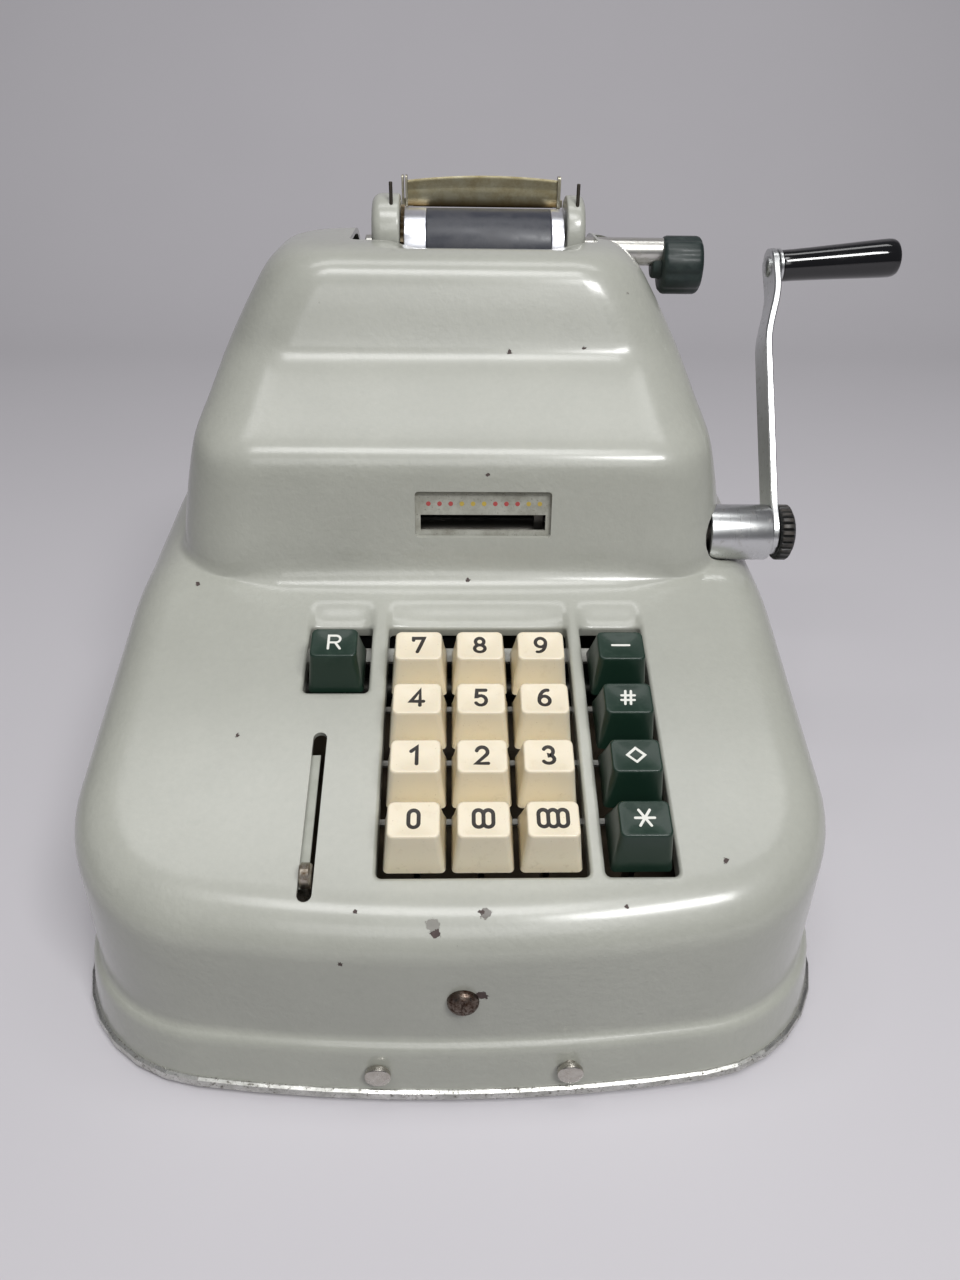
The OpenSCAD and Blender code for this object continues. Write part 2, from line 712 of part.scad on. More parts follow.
// Indicator: plate behind the window, with a slot for the pointer of the carriage.
plate_lean = 7;
indicator_y = -17.9;
indicator_t = 1.2;
indicator_slot_w = carriage_travel + 2;
indicator_slot_h = 5.6;
module indicator_plate() {
  color([0.80, 0.80, 0.77]) placed() translate([window_x, indicator_y, window_z])
    rotate([-plate_lean, 0, 0]) difference() {
    translate([-window_w / 2 - 3, 0, -window_h / 2 - 3]) cube([window_w + 6, indicator_t, window_h + 6]);
    translate([-indicator_slot_w / 2, -1, -window_h / 2 + 1.6])
      cube([indicator_slot_w, indicator_t + 2, indicator_slot_h]);
  }
}

rail_r = 3;
rail_z = 72;
rails_y = [0, 24];
carriage_w = 46;
carriage_x = 18;
// Pins of the carriage that the keys set.
set_pitch = 4.4;
set_r = 0.9;
module pin_carriage() {
  pointer_y = indicator_y + 4.6;
  color([0.60, 0.60, 0.56]) placed() {
    difference() {
      translate([carriage_x, rails_y[0] - 7, rail_z - 8])
        cube([carriage_w, rails_y[1] - rails_y[0] + 14, 16]);
      for (y = rails_y) x_rod(carriage_x - 1, y, rail_z, rail_r + fit, carriage_w + 2);
    }
    for (i = [0:9], j = [0:3])
      translate([carriage_x + 3 + i * set_pitch, rails_y[0] + 5.5 + j * set_pitch, rail_z + 8])
        cylinder(r = set_r, h = 3, $fn = 16);
    translate([carriage_x + 10, pointer_y, rail_z + 2]) cube([3, 1.2, window_z - rail_z - 2]);
    translate([carriage_x + 10, pointer_y, rail_z - 2]) cube([3, rails_y[0] - 7 - pointer_y, 4]);
  }
}
module carriage_rails() {
  color([0.72, 0.72, 0.72]) placed()
    for (y = rails_y) x_rod(-frame_inner, y, rail_z, rail_r, 2 * frame_inner);
}

// Type bars rise in their comb until their heads face the platen.
bar_t = 1.4;
bar_y = 45.8;
bar_d = 3;
bar_bottom = 84;
bar_top = platen_z - bar_rise - 3;
module bar_x(i) { translate([unit_x + (i - (bar_count - 1) / 2) * bar_pitch, 0, 0]) children(); }
module type_bars() {
  color([0.66, 0.66, 0.68]) placed() {
    for (i = [0:bar_count - 1]) bar_x(i) {
      translate([-bar_t / 2, bar_y, bar_bottom]) cube([bar_t, bar_d, bar_top - bar_bottom]);
      translate([-1.3, bar_y - 1, bar_top - 9]) cube([2.6, bar_d + 1.2, 9]);
    }
    translate([unit_x - bar_count * bar_pitch / 2, bar_y, bar_bottom - 5])
      cube([bar_count * bar_pitch, bar_d, 5 + eps]);
  }
}
guide_z = 134;
comb_front = 4;
comb_back = 3;
comb_t = 5;
module type_bar_guide() {
  color([0.52, 0.54, 0.54]) placed() difference() {
    translate([-frame_inner, bar_y - comb_front, guide_z])
      cube([2 * frame_inner, comb_front + bar_d + comb_back, comb_t]);
    for (i = [0:bar_count - 1]) bar_x(i)
      translate([-bar_t / 2 - play, bar_y - play, guide_z - 1])
        cube([bar_t + 2 * play, bar_d + 2 * play, comb_t + 2]);
  }
}

// Gear outline with straight flanks and a little backlash.
backlash = 0.16;
function gear_outline(teeth, m) =
  let (
    r = teeth * m / 2,
    half = 90 / teeth,
    slack = backlash * 57.3 / r,
    tip = r + 0.85 * m,
    root = r - 1.1 * m,
    a_tip = half - slack - 0.85 * m * tan(22) * 57.3 / r,
    a_root = half - slack + 0.9 * m * tan(18) * 57.3 / r
  ) [
    for (i = [0:teeth - 1]) for (q = [[-a_root, root], [-a_tip, tip], [a_tip, tip], [a_root, root]])
      let (a = i * 360 / teeth + q[0]) [q[1] * cos(a), q[1] * sin(a)]
  ];
// The gears are turned so that a tooth of the first points at a gap of the second.
gear_x = frame_x + 0.8;
gear_boss = 2;
gear_boss_wall = 4;
hub_root = gear_x + gear_w + gear_boss + hub_gap;
module gear_at(y, z, turn, teeth, bore) {
  translate([gear_x, y, z]) rotate([90, 0, 90]) difference() {
    union() {
      rotate([0, 0, turn]) linear_extrude(gear_w) polygon(gear_outline(teeth, gear_module));
      cylinder(r = bore + gear_boss_wall, h = gear_w + gear_boss);
    }
    translate([0, 0, -1]) cylinder(r = bore, h = gear_w + gear_boss + 2);
  }
}
module drive_gear() {
  color([0.72, 0.58, 0.30]) placed() gear_at(-crank_y, crank_z, mesh_angle, drive_teeth, shaft_r);
}
module cam_gear() {
  turn = mesh_angle + 180 + 180 / cam_teeth;
  color([0.62, 0.62, 0.60]) placed() gear_at(cam_y, cam_z, turn, cam_teeth, shaft_r);
}

stub_r = 3;
nut_l = 6.8;
shaft_tail = 3;
module main_shaft() {
  color([0.70, 0.70, 0.70]) placed() translate([0, -crank_y, crank_z]) rotate([0, 90, 0]) {
    translate([0, 0, -frame_x - shaft_tail]) cylinder(r = shaft_r, h = hub_end + frame_x + shaft_tail);
    translate([0, 0, hub_end - eps]) cylinder(r = stub_r, h = arm_t + nut_l * 0.6);
  }
}
module main_bushes() {
  color([0.76, 0.62, 0.32]) placed() for (x = [-frame_x, frame_inner])
    translate([x, -crank_y, crank_z]) rotate([0, 90, 0]) difference() {
    cylinder(r = shaft_r + bush_wall, h = frame_t);
    translate([0, 0, -1]) cylinder(r = shaft_r + fit, h = frame_t + 2);
  }
}
cam_lift = 3;
module cam_shaft() {
  color([0.58, 0.58, 0.58]) placed() translate([0, cam_y, cam_z]) rotate([0, 90, 0]) {
    translate([0, 0, -frame_x - 2]) cylinder(r = shaft_r, h = gear_x + gear_w + 4 + frame_x);
    for (x = [-60, -34, 50, 62]) translate([-cam_lift / 2, 0, x]) cylinder(r = shaft_r + cam_lift / 2, h = 4);
  }
}
wheel_teeth = 14;
wheel_t = 1.4;
module accumulator_wheels() {
  color([0.64, 0.60, 0.50]) placed() translate([0, wheel_y, wheel_z]) rotate([0, 90, 0]) {
    translate([0, 0, -frame_x - 1]) cylinder(r = wheel_shaft_r, h = 2 * frame_x + 2);
    for (i = [0:bar_count - 1])
      translate([0, 0, unit_x + (i - (bar_count - 1) / 2) * bar_pitch - wheel_t / 2])
      linear_extrude(wheel_t) polygon(gear_outline(wheel_teeth, 1.5));
  }
}

// Crank. The arm is drawn upright and then leant back.
module on_crank() {
  translate([0, -crank_y, crank_z]) rotate([-arm_lean, 0, 0]) children();
}
module on_grip() {
  on_crank() translate([hub_end + arm_set, 0, arm_l]) rotate([0, -grip_tilt, 0]) children();
}
module crank_hub() {
  color([0.74, 0.74, 0.73]) placed() translate([hub_root, -crank_y, crank_z])
    rotate([0, 90, 0]) difference() {
    cylinder(r = hub_r, h = hub_end - hub_root);
    translate([0, 0, -1]) cylinder(r = shaft_r, h = hub_end - hub_root + 2);
  }
}
module crank_arm() {
  bend_low = arm_l - 30;
  bend_high = arm_l - 10;
  color([0.76, 0.76, 0.76]) placed() difference() {
    union() {
      on_crank() {
        translate([hub_end, 0, 0]) rotate([0, 90, 0]) cylinder(r = arm_w / 2 + 1.5, h = arm_t);
        translate([0, arm_w / 2, 0]) rotate([90, 0, 0]) linear_extrude(arm_w) polygon([
          [hub_end, 0], [hub_end + arm_t, 0], [hub_end + arm_t, bend_low], [arm_end, bend_high],
          [arm_end, arm_l - 2], [hub_end + arm_set, arm_l - 2], [hub_end + arm_set, bend_high],
          [hub_end, bend_low]
        ]);
      }
      on_grip() rotate([0, 90, 0]) cylinder(r = arm_w / 2, h = arm_t);
    }
    on_crank() translate([hub_end - 1, 0, 0]) rotate([0, 90, 0]) cylinder(r = stub_r, h = arm_t + 2);
    on_grip() translate([-2, 0, 0]) rotate([0, 90, 0]) cylinder(r = spindle_r, h = arm_t + 4);
  }
}
nut_r = 10;
nut_ribs = 30;
module crank_nut() {
  color([0.08, 0.08, 0.08]) placed() on_crank() translate([hub_end + arm_t, 0, 0])
    rotate([0, 90, 0]) difference() {
    union() {
      linear_extrude(nut_l * 0.65) polygon([
        for (i = [0:nut_ribs - 1])
        for (q = [[0.1, nut_r], [0.45, nut_r], [0.6, nut_r - 0.7], [0.95, nut_r - 0.7]])
          let (a = (i + q[0]) * 360 / nut_ribs) [q[1] * cos(a), q[1] * sin(a)]
      ]);
      translate([0, 0, nut_l * 0.65]) rotate_extrude()
        polygon(concat([[0, 0]], [for (a = [0:15:90]) [(nut_r - 0.8) * cos(a), nut_l * 0.35 * sin(a)]]));
    }
    translate([0, 0, -1]) cylinder(r = stub_r, h = nut_l * 0.6 + 1);
  }
}
spindle_r = 2.5;
ferrule_t = 1.5;
ferrule_r = 6.2;
grip_inner_r = 5.8;
spindle_head_t = 1.2;
// The arm's flat end and the tilted spindle part by this much at the head's rim.
head_gap = (spindle_r + 2) * sin(grip_tilt);
module grip_spindle() {
  color([0.80, 0.80, 0.80]) placed() on_grip() rotate([0, 90, 0]) {
    translate([0, 0, -spindle_head_t - head_gap])
      cylinder(r = spindle_r, h = spindle_head_t + head_gap + arm_t + ferrule_t + grip_l * 0.7);
    translate([0, 0, arm_t]) cylinder(r = ferrule_r, h = ferrule_t);
    translate([0, 0, -spindle_head_t - head_gap]) cylinder(r = spindle_r + 1.3, h = spindle_head_t);
  }
}
module crank_grip() {
  start = arm_t + ferrule_t + play;
  end = start + grip_l - 1.5;
  dome = 2.4;
  color([0.05, 0.05, 0.05]) placed() on_grip() rotate([0, 90, 0]) difference() {
    rotate_extrude() polygon(concat(
      [[0, start], [grip_inner_r - 0.5, start], [grip_inner_r, start + 0.6], [grip_r, end - dome]],
      [for (a = [15:15:90]) [grip_r - dome + dome * cos(a), end - dome + dome * sin(a)]], [[0, end]]
    ));
    translate([0, 0, start - 1]) cylinder(r = spindle_r + fit, h = grip_l * 0.7 + 1.5);
  }
}

// Printing unit.
platen_left = unit_x - platen_l / 2;
platen_right = unit_x + platen_l / 2;
ring_end_left = platen_left - ring_left;
ring_end_right = platen_right + ring_right;
ratchet_t = 1.1;
cheek_left_x = ring_end_left - ratchet_t - clear;
cheek_right_x = ring_end_right + 0.8;
core_r = platen_r - 3;
module on_platen(x) { translate([x, platen_y, platen_z]) rotate([0, 90, 0]) children(); }

module platen_rubber() {
  color([0.12, 0.12, 0.13]) placed() on_platen(platen_left) difference() {
    cylinder(r = platen_r, h = platen_l);
    translate([0, 0, -1]) cylinder(r = core_r, h = platen_l + 2);
  }
}
module platen_shaft() {
  shaft_left = cheek_left_x - cheek_left_t - 3;
  color([0.80, 0.80, 0.79]) placed() {
    on_platen(shaft_left) cylinder(r = platen_shaft_r, h = knob_x + 3 - shaft_left);
    on_platen(platen_left - eps) cylinder(r = core_r, h = platen_l + 2 * eps);
    on_platen(ring_end_left) cylinder(r = platen_r, h = ring_left);
    on_platen(platen_right) cylinder(r = platen_r, h = ring_right);
  }
}
ratchet_teeth = 30;
module ratchet_wheel() {
  color([0.70, 0.68, 0.60]) placed() on_platen(ring_end_left - ratchet_t) difference() {
    linear_extrude(ratchet_t) polygon([
      for (i = [0:ratchet_teeth - 1]) for (q = [[0, platen_r + 1], [0.15, platen_r - 0.6]])
        let (a = (i + q[0]) * 360 / ratchet_teeth) [q[1] * cos(a), q[1] * sin(a)]
    ]);
    translate([0, 0, -1]) cylinder(r = platen_shaft_r, h = ratchet_t + 2);
  }
}
knob_flutes = 16;
module platen_knob() {
  color([0.06, 0.22, 0.18]) placed() difference() {
    translate([knob_x, platen_y, platen_z - knob_drop]) rotate([0, 90, 0]) difference() {
      union() {
        cylinder(r = knob_r, h = knob_l - 1.5);
        translate([0, 0, knob_l - 1.5]) cylinder(r1 = knob_r, r2 = knob_r - 1.5, h = 1.5);
        translate([0, 0, -3]) cylinder(r = 3, h = 3 + eps);
      }
      for (i = [0:knob_flutes - 1]) rotate([0, 0, i * 360 / knob_flutes])
        translate([knob_r + 0.9, 0, 2]) cylinder(r = 1.6, h = knob_l);
    }
    on_platen(knob_x - 4) cylinder(r = platen_shaft_r, h = 7);
  }
}
roller_r = 5;
roller_axle_r = 2.5;
roller_gap = 0.3;
roller_pin = 4;
roller_y = platen_y + (platen_r + roller_r + roller_gap) * cos(60);
roller_z = platen_z - (platen_r + roller_r + roller_gap) * sin(60);
module pressure_roller() {
  color([0.20, 0.20, 0.20]) placed() {
    translate([platen_left, roller_y, roller_z]) rotate([0, 90, 0]) cylinder(r = roller_r, h = platen_l);
    x_rod(cheek_left_x - roller_pin, roller_y, roller_z, roller_axle_r,
      cheek_right_x - cheek_left_x + 2 * roller_pin);
  }
}
cheek_round = 14;
cheek_bottom = unit_rod_z - 8;
cheek_tail_d = 29;
cheek_tail_h = 34;
cheek_rods = [-5, 21];
module cheek(x0, t) {
  difference() {
    union() {
      x_rod(x0, platen_y, platen_z + cheek_rise - cheek_round, cheek_round, t);
      translate([x0, platen_y - cheek_round, cheek_bottom])
        cube([t, 2 * cheek_round, platen_z + cheek_rise - cheek_round - cheek_bottom]);
      translate([x0, platen_y, cheek_bottom]) cube([t, cheek_tail_d, cheek_tail_h]);
    }
    for (y = cheek_rods) x_rod(x0 - 1, platen_y + y, unit_rod_z, rod_r, t + 2);
    on_platen(x0 - 1) cylinder(r = platen_shaft_r + fit, h = t + 2);
    translate([x0 - 1, roller_y, roller_z]) rotate([0, 90, 0]) cylinder(r = roller_axle_r + fit, h = t + 2);
  }
}
module cheek_left() { color([0.66, 0.68, 0.62]) placed() cheek(cheek_left_x - cheek_left_t, cheek_left_t); }
module cheek_right() { color([0.66, 0.68, 0.62]) placed() cheek(cheek_right_x, cheek_right_t); }

tear_set = 10;
tear_seat = 13.2;
tear_y = platen_y + tear_set;
tear_low = platen_z + tear_seat;
tear_bend = 260;
tear_t = 2.2;
tear_rise = 8.5;
tear_post_left = 2.4;
tear_post_right = 1.6;
tear_post_d = 4;
module tear_bar() {
  color([0.62, 0.55, 0.36]) placed() {
    intersection() {
      translate([ring_end_left, tear_y, tear_low])
        cube([ring_end_right - ring_end_left, tear_t, tear_top - tear_low]);
      translate([unit_x, tear_y - 1, tear_top - 1.2 - tear_bend]) rotate([-90, 0, 0]) difference() {
        cylinder(r = tear_bend, h = 5, $fn = 180);
        translate([0, 0, -1]) cylinder(r = tear_bend - tear_rise, h = 7, $fn = 180);
      }
    }
    translate([cheek_left_x, tear_y - 0.8, tear_low])
      cube([tear_post_left, tear_post_d, tear_top - tear_low]);
    translate([cheek_right_x - tear_post_right, tear_y - 0.8, tear_low])
      cube([tear_post_right, tear_post_d, tear_top - tear_low]);
    translate([cheek_left_x, tear_y + 0.2, tear_low + 1]) cube([ring_end_left - cheek_left_x + 3, 2, 3]);
    translate([ring_end_right - 3, tear_y + 0.2, tear_low + 1])
      cube([cheek_right_x - ring_end_right + 3, 2, 3]);
  }
}
pin_r = 0.8;
pin_l = 14;
module paper_pins() {
  color([0.70, 0.68, 0.60]) placed() {
    translate([cheek_left_x - 3, platen_y - 8, platen_z + cheek_rise / 2 + 0.3])
      cylinder(r = pin_r, h = pin_l, $fn = 24);
    translate([cheek_right_x + cheek_right_t - 2, platen_y - 4, platen_z + cheek_rise / 2 - 1.7])
      cylinder(r = pin_r, h = pin_l - 2, $fn = 24);
  }
}
holder_t = 2;
holder_y = 124;
holder_z = 176;
holder_spindle_r = 4;
module paper_roll_holder() {
  x0 = cheek_left_x - cheek_left_t - holder_t;
  x1 = cheek_right_x + cheek_right_t;
  color([0.55, 0.57, 0.55]) placed() {
    for (x = [x0, x1]) translate([x, 0, 0]) rotate([90, 0, 90]) linear_extrude(holder_t)
      polygon([
        [platen_y + 9, notch_bottom + 2], [holder_y + 5, notch_bottom + 8],
        [holder_y + 6, holder_z + 6], [holder_y - 6, holder_z + 6], [platen_y + 9, notch_bottom + 14]
      ]);
    x_rod(x0 + eps, holder_y, holder_z, holder_spindle_r, x1 - x0 + holder_t - 2 * eps);
  }
}

// Ink ribbon and its two spools.
spool_r = 10.6;
spool_z = platen_z - 12.4;
spool_h = 11;
ribbon_y = 49.4;
ribbon_t = 0.3;
spool_spots = [[-40, 40.6], [51.5, 42.4]];
module ribbon_spool(i) {
  c = spool_spots[i];
  color([0.55, 0.55, 0.53]) placed() translate([c[0], c[1], spool_z]) difference() {
    rotate_extrude() polygon([
      [0, 0], [spool_r, 0], [spool_r, 1], [ribbon_y - c[1] - clear, 1],
      [ribbon_y - c[1] - clear, spool_h - 1], [spool_r, spool_h - 1],
      [spool_r, spool_h], [0, spool_h]
    ]);
    translate([0, 0, -1]) cylinder(r = 1.5 + fit, h = spool_h - 1);
  }
}
module ribbon_spool_left() { ribbon_spool(0); }
module ribbon_spool_right() { ribbon_spool(1); }
module ribbon() {
  x0 = spool_spots[0][0];
  color([0.10, 0.09, 0.12]) placed() translate([x0, ribbon_y, spool_z + 1.4])
    cube([spool_spots[1][0] - x0, ribbon_t, spool_h - 2.8]);
}

case_cover();
base_pan();
base_trim();
rubber_feet();
chassis_screws();
cover_lock_screw();
skirt_studs();
side_frame_left();
side_frame_right();
frame_tie_rods();
key_guide_bars();
key_guide_plate();
key_spring_comb();
for (i = [0:11]) digit_key(i);
green_key(function_x, row_s[3]);  // key_minus
green_key(function_x, row_s[2]);  // key_non_add
green_key(function_x, row_s[1]);  // key_subtotal
green_key(function_x, row_s[0]);  // key_total
green_key(-repeat_x, repeat_s);  // key_repeat
correction_lever();
indicator_plate();
pin_carriage();
carriage_rails();
type_bars();
type_bar_guide();
accumulator_wheels();
main_shaft();
main_bushes();
drive_gear();
cam_gear();
cam_shaft();
crank_hub();
crank_arm();
crank_nut();
crank_grip();
grip_spindle();
ribbon_spool_left();
ribbon_spool_right();
ribbon();
platen_rubber();
platen_shaft();
platen_knob();
ratchet_wheel();
pressure_roller();
cheek_left();
cheek_right();
tear_bar();
paper_pins();
paper_roll_holder();
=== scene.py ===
import math

import bmesh
import bpy
from mathutils import Matrix, Vector


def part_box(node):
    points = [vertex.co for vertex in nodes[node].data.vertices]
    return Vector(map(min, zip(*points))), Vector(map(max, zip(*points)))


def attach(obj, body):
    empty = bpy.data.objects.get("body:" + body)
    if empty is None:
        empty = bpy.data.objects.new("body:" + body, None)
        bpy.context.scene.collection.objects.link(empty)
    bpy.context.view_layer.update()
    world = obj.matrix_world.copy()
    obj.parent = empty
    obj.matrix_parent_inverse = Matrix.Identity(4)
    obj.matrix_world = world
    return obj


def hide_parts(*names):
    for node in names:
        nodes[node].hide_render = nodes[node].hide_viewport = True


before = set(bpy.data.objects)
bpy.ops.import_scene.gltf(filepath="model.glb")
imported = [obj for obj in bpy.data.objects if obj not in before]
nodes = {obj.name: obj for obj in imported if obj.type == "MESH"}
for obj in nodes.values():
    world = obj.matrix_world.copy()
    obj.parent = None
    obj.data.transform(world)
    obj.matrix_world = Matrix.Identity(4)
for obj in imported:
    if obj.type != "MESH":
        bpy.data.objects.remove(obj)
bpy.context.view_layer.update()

# The case stands symmetrically about its own middle, which lies left of the origin because
# the crank reaches out to the right. Drawings below are in millimetres from that middle.
cover_low, cover_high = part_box("case_cover")
CASE_MIDDLE = (cover_low.x + cover_high.x) / 2
TO_PLACE = Matrix.Translation((CASE_MIDDLE, 0, 0)) @ Matrix.Scale(0.001, 4)

# Camera: a phone held a forearm's length in front of the machine and above it, looking down
# onto the keyboard and turned a little to the right.
CAMERA_SPOT = (0, -322.8, 260)
CAMERA_DOWN = math.radians(30.8)
CAMERA_RIGHT = 0.0315
CAMERA_ROLL = 0.0161
camera = bpy.data.objects.new("camera", bpy.data.cameras.new("camera"))
camera.data.lens = 27
camera.data.sensor_width = 36
camera.data.clip_start = 0.01
camera.rotation_mode = "QUATERNION"
camera.location = TO_PLACE @ Vector(CAMERA_SPOT)
camera.rotation_quaternion = (
    Matrix.Rotation(-CAMERA_RIGHT, 4, "Z")
    @ Matrix.Rotation(math.pi / 2 - CAMERA_DOWN, 4, "X")
    @ Matrix.Rotation(CAMERA_ROLL, 4, "Z")
).to_quaternion()
bpy.context.scene.collection.objects.link(camera)
bpy.context.scene.camera = camera

# Studio: pale floor that runs up into a pale backdrop, soft lamps above the camera and to its
# right, two weak ones that fill the shadows, and one that lights the backdrop. The floor
# looks pale but throws little light back up, as the front of the case is in its own shade.


class Value:
    """A shader socket on which arithmetic can be written."""

    def __init__(self, finish, socket):
        self.finish = finish
        self.socket = socket

    def combined(self, operation, other, swapped=False):
        pair = [other, self] if swapped else [self, other]
        return self.finish.node("ShaderNodeMath", {"operation": operation}, {0: pair[0], 1: pair[1]})

    def __add__(self, other):
        return self.combined("ADD", other)

    def __radd__(self, other):
        return self.combined("ADD", other, True)

    def __sub__(self, other):
        return self.combined("SUBTRACT", other)

    def __rsub__(self, other):
        return self.combined("SUBTRACT", other, True)

    def __mul__(self, other):
        return self.combined("MULTIPLY", other)

    def __rmul__(self, other):
        return self.combined("MULTIPLY", other, True)

    def most(self, other):
        return self.combined("MAXIMUM", other)


class Finish:
    """One material: a shader and the nodes that feed it."""

    def __init__(self, name, colour, metallic=0.0, roughness=0.5, coat=0.0, coat_roughness=0.1, ior=1.5):
        self.material = bpy.data.materials.new(name)
        self.material.use_nodes = True
        self.tree = self.material.node_tree
        self.shader = self.tree.nodes["Principled BSDF"]
        self.feed("Base Color", colour)
        self.feed("Metallic", metallic)
        self.feed("Roughness", roughness)
        self.feed("Coat Weight", coat)
        self.shader.inputs["Coat Roughness"].default_value = coat_roughness
        self.shader.inputs["IOR"].default_value = ior
        self.material.diffuse_color = (*colour, 1)

    def feed(self, name, value):
        self.join(self.shader.inputs[name], value)

    def join(self, socket, value):
        if isinstance(value, Value):
            self.tree.links.new(value.socket, socket)
        elif socket.type == "RGBA":
            socket.default_value = (*value, 1)
        else:
            socket.default_value = value

    def node(self, kind, settings=None, sockets=None, out=0):
        made = self.tree.nodes.new(kind)
        for key, value in (settings or {}).items():
            setattr(made, key, value)
        for key, value in (sockets or {}).items():
            self.join(made.inputs[key], value)
        return Value(self, made.outputs[out])

    def place(self):
        return self.node("ShaderNodeTexCoord", out="Object")

    def noise(self, size, detail=3.0, rough=0.55):
        """Noise with features of about the given size in millimetres."""
        return self.node(
            "ShaderNodeTexNoise",
            sockets={"Vector": self.place(), "Scale": 1000 / size, "Detail": detail, "Roughness": rough},
        )

    def grain(self, x, y, z, detail=3.0):
        """Noise drawn out along the axis with the smallest number, for turned and rolled metal."""
        drawn_out = self.node("ShaderNodeMapping", sockets={"Vector": self.place(), "Scale": (x, y, z)})
        return self.node("ShaderNodeTexNoise", sockets={"Vector": drawn_out, "Scale": 1.0, "Detail": detail})

    def away_from(self, where, spot):
        """Distance of a vector from a spot in metres."""
        return self.node("ShaderNodeVectorMath", {"operation": "DISTANCE"}, {0: where, 1: spot}, out="Value")

    def step(self, value, low, high):
        """0 below low and 1 above high, with a straight rise between."""
        return self.node(
            "ShaderNodeMapRange", {"clamp": True}, {"Value": value, "From Min": low, "From Max": high}
        )

    def mix(self, amount, first, second):
        """Mixes two colours by a value."""
        return self.node("ShaderNodeMix", {"data_type": "RGBA"}, {0: amount, 6: first, 7: second}, out=2)

    def tone(self, amount, first, second):
        """Colours the surface with a mix of two colours."""
        self.feed("Base Color", self.mix(amount, first, second))

    def gloss(self, least, spread, size, detail=4):
        """Roughness from least upwards that changes from spot to spot."""
        self.feed("Roughness", least + self.noise(size, detail) * spread)

    def relief(self, height, depth, strength=1.0, under=None):
        """Bump from a height of 0 to 1, the depth in millimetres."""
        made = self.node(
            "ShaderNodeBump", sockets={"Height": height, "Distance": depth / 1000, "Strength": strength}
        )
        if under:
            self.join(made.socket.node.inputs["Normal"], under)
        return made


FLOOR_PALE, FLOOR_PALEST, FLOOR_THROWN = (0.60, 0.58, 0.61), (0.64, 0.62, 0.65), (0.12, 0.12, 0.12)
floor_finish = Finish("pale_floor", FLOOR_PALE, roughness=0.9)
pale = floor_finish.mix(floor_finish.noise(300), FLOOR_PALE, FLOOR_PALEST)
straight, mirrored, through = [
    floor_finish.node("ShaderNodeLightPath", out=name)
    for name in ("Is Camera Ray", "Is Glossy Ray", "Is Transmission Ray")
]
floor_finish.tone(straight.most(mirrored).most(through), FLOOR_THROWN, pale)
FLOOR_SIDE, FLOOR_FRONT, FLOOR_BACK, SWEEP_R, SWEEP_TOP = 4.0, -3.0, 1.3, 0.6, 2.6
SWEEP_STEPS = 24


def verts_of(geometry):
    return [v for v in geometry if isinstance(v, bmesh.types.BMVert)]


sweep = [(FLOOR_FRONT, 0), (FLOOR_BACK - SWEEP_R, 0)]
for k in range(1, SWEEP_STEPS + 1):
    turn = math.pi / 2 * k / SWEEP_STEPS
    sweep.append((FLOOR_BACK - SWEEP_R + SWEEP_R * math.sin(turn), SWEEP_R * (1 - math.cos(turn))))
sweep.append((FLOOR_BACK, SWEEP_TOP))
floor_mesh = bmesh.new()
edge = [floor_mesh.verts.new((-FLOOR_SIDE, y, z)) for y, z in sweep]
line = [floor_mesh.edges.new(pair) for pair in zip(edge, edge[1:])]
drawn = bmesh.ops.extrude_edge_only(floor_mesh, edges=line)["geom"]
bmesh.ops.translate(floor_mesh, vec=(2 * FLOOR_SIDE, 0, 0), verts=verts_of(drawn))
for face in floor_mesh.faces:
    face.smooth = True
floor = bpy.data.objects.new("floor", bpy.data.meshes.new("floor"))
floor_mesh.to_mesh(floor.data)
floor_mesh.free()
floor.data.materials.append(floor_finish.material)
bpy.context.scene.collection.objects.link(floor)

world = bpy.data.worlds.new("studio")
world.use_nodes = True
bpy.context.scene.world = world
sky_light = world.node_tree.nodes["Background"]
sky_light.inputs["Color"].default_value = (0.93, 0.93, 1.0, 1)
sky_light.inputs["Strength"].default_value = 0.13
bpy.context.scene.view_settings.view_transform = "Standard"


def lamp(name, spot, aim, size, watts):
    made = bpy.data.objects.new(name, bpy.data.lights.new(name, "AREA"))
    made.data.shape = "RECTANGLE"
    made.data.size, made.data.size_y = size
    made.data.energy = watts
    made.location = spot
    made.rotation_mode = "QUATERNION"
    made.rotation_quaternion = (Vector(aim) - Vector(spot)).to_track_quat("-Z", "Y")
    bpy.context.scene.collection.objects.link(made)


lamp("lamp_above", (-0.08, -0.60, 1.55), (0, 0, 0.12), (0.8, 0.4), 7.0)
lamp("lamp_key", (0.42, -0.84, 1.12), (0, 0, 0.14), (0.42, 0.26), 8.9)
lamp("lamp_front", (0.0, -1.35, 0.95), (0, 0, 0.15), (0.9, 0.5), 3)
lamp("lamp_left", (-1.3, -0.3, 0.9), (0, 0, 0.1), (0.7, 0.9), 0.4)
lamp("lamp_backdrop", (0, 0.2, 1.9), (0, 1.3, 0.5), (1.6, 0.5), 8.5)

# Case cover: one deep-drawn sheet steel shell, with the deck openings turned down at their
# edges. It is sprayed with a grey-green stove enamel whose fine orange peel shows all over.
# The outer and the inner skin are drawn ring by ring from the skirt to the top of the hump.
HALF_W, HALF_D, CORNER, BOW = 113.5, 145.5, 46.0, 520.0
WALL = 1.8
BOW_Y = BOW - HALF_D
CORNER_X = HALF_W - CORNER
CORNER_FRONT = BOW_Y - math.sqrt((BOW - CORNER) ** 2 - CORNER_X**2)
CORNER_BACK = HALF_D - CORNER
BOW_TURN = math.asin(CORNER_X / (BOW - CORNER))
SKIRT_FOOT = 5.02
WALL_START = 26
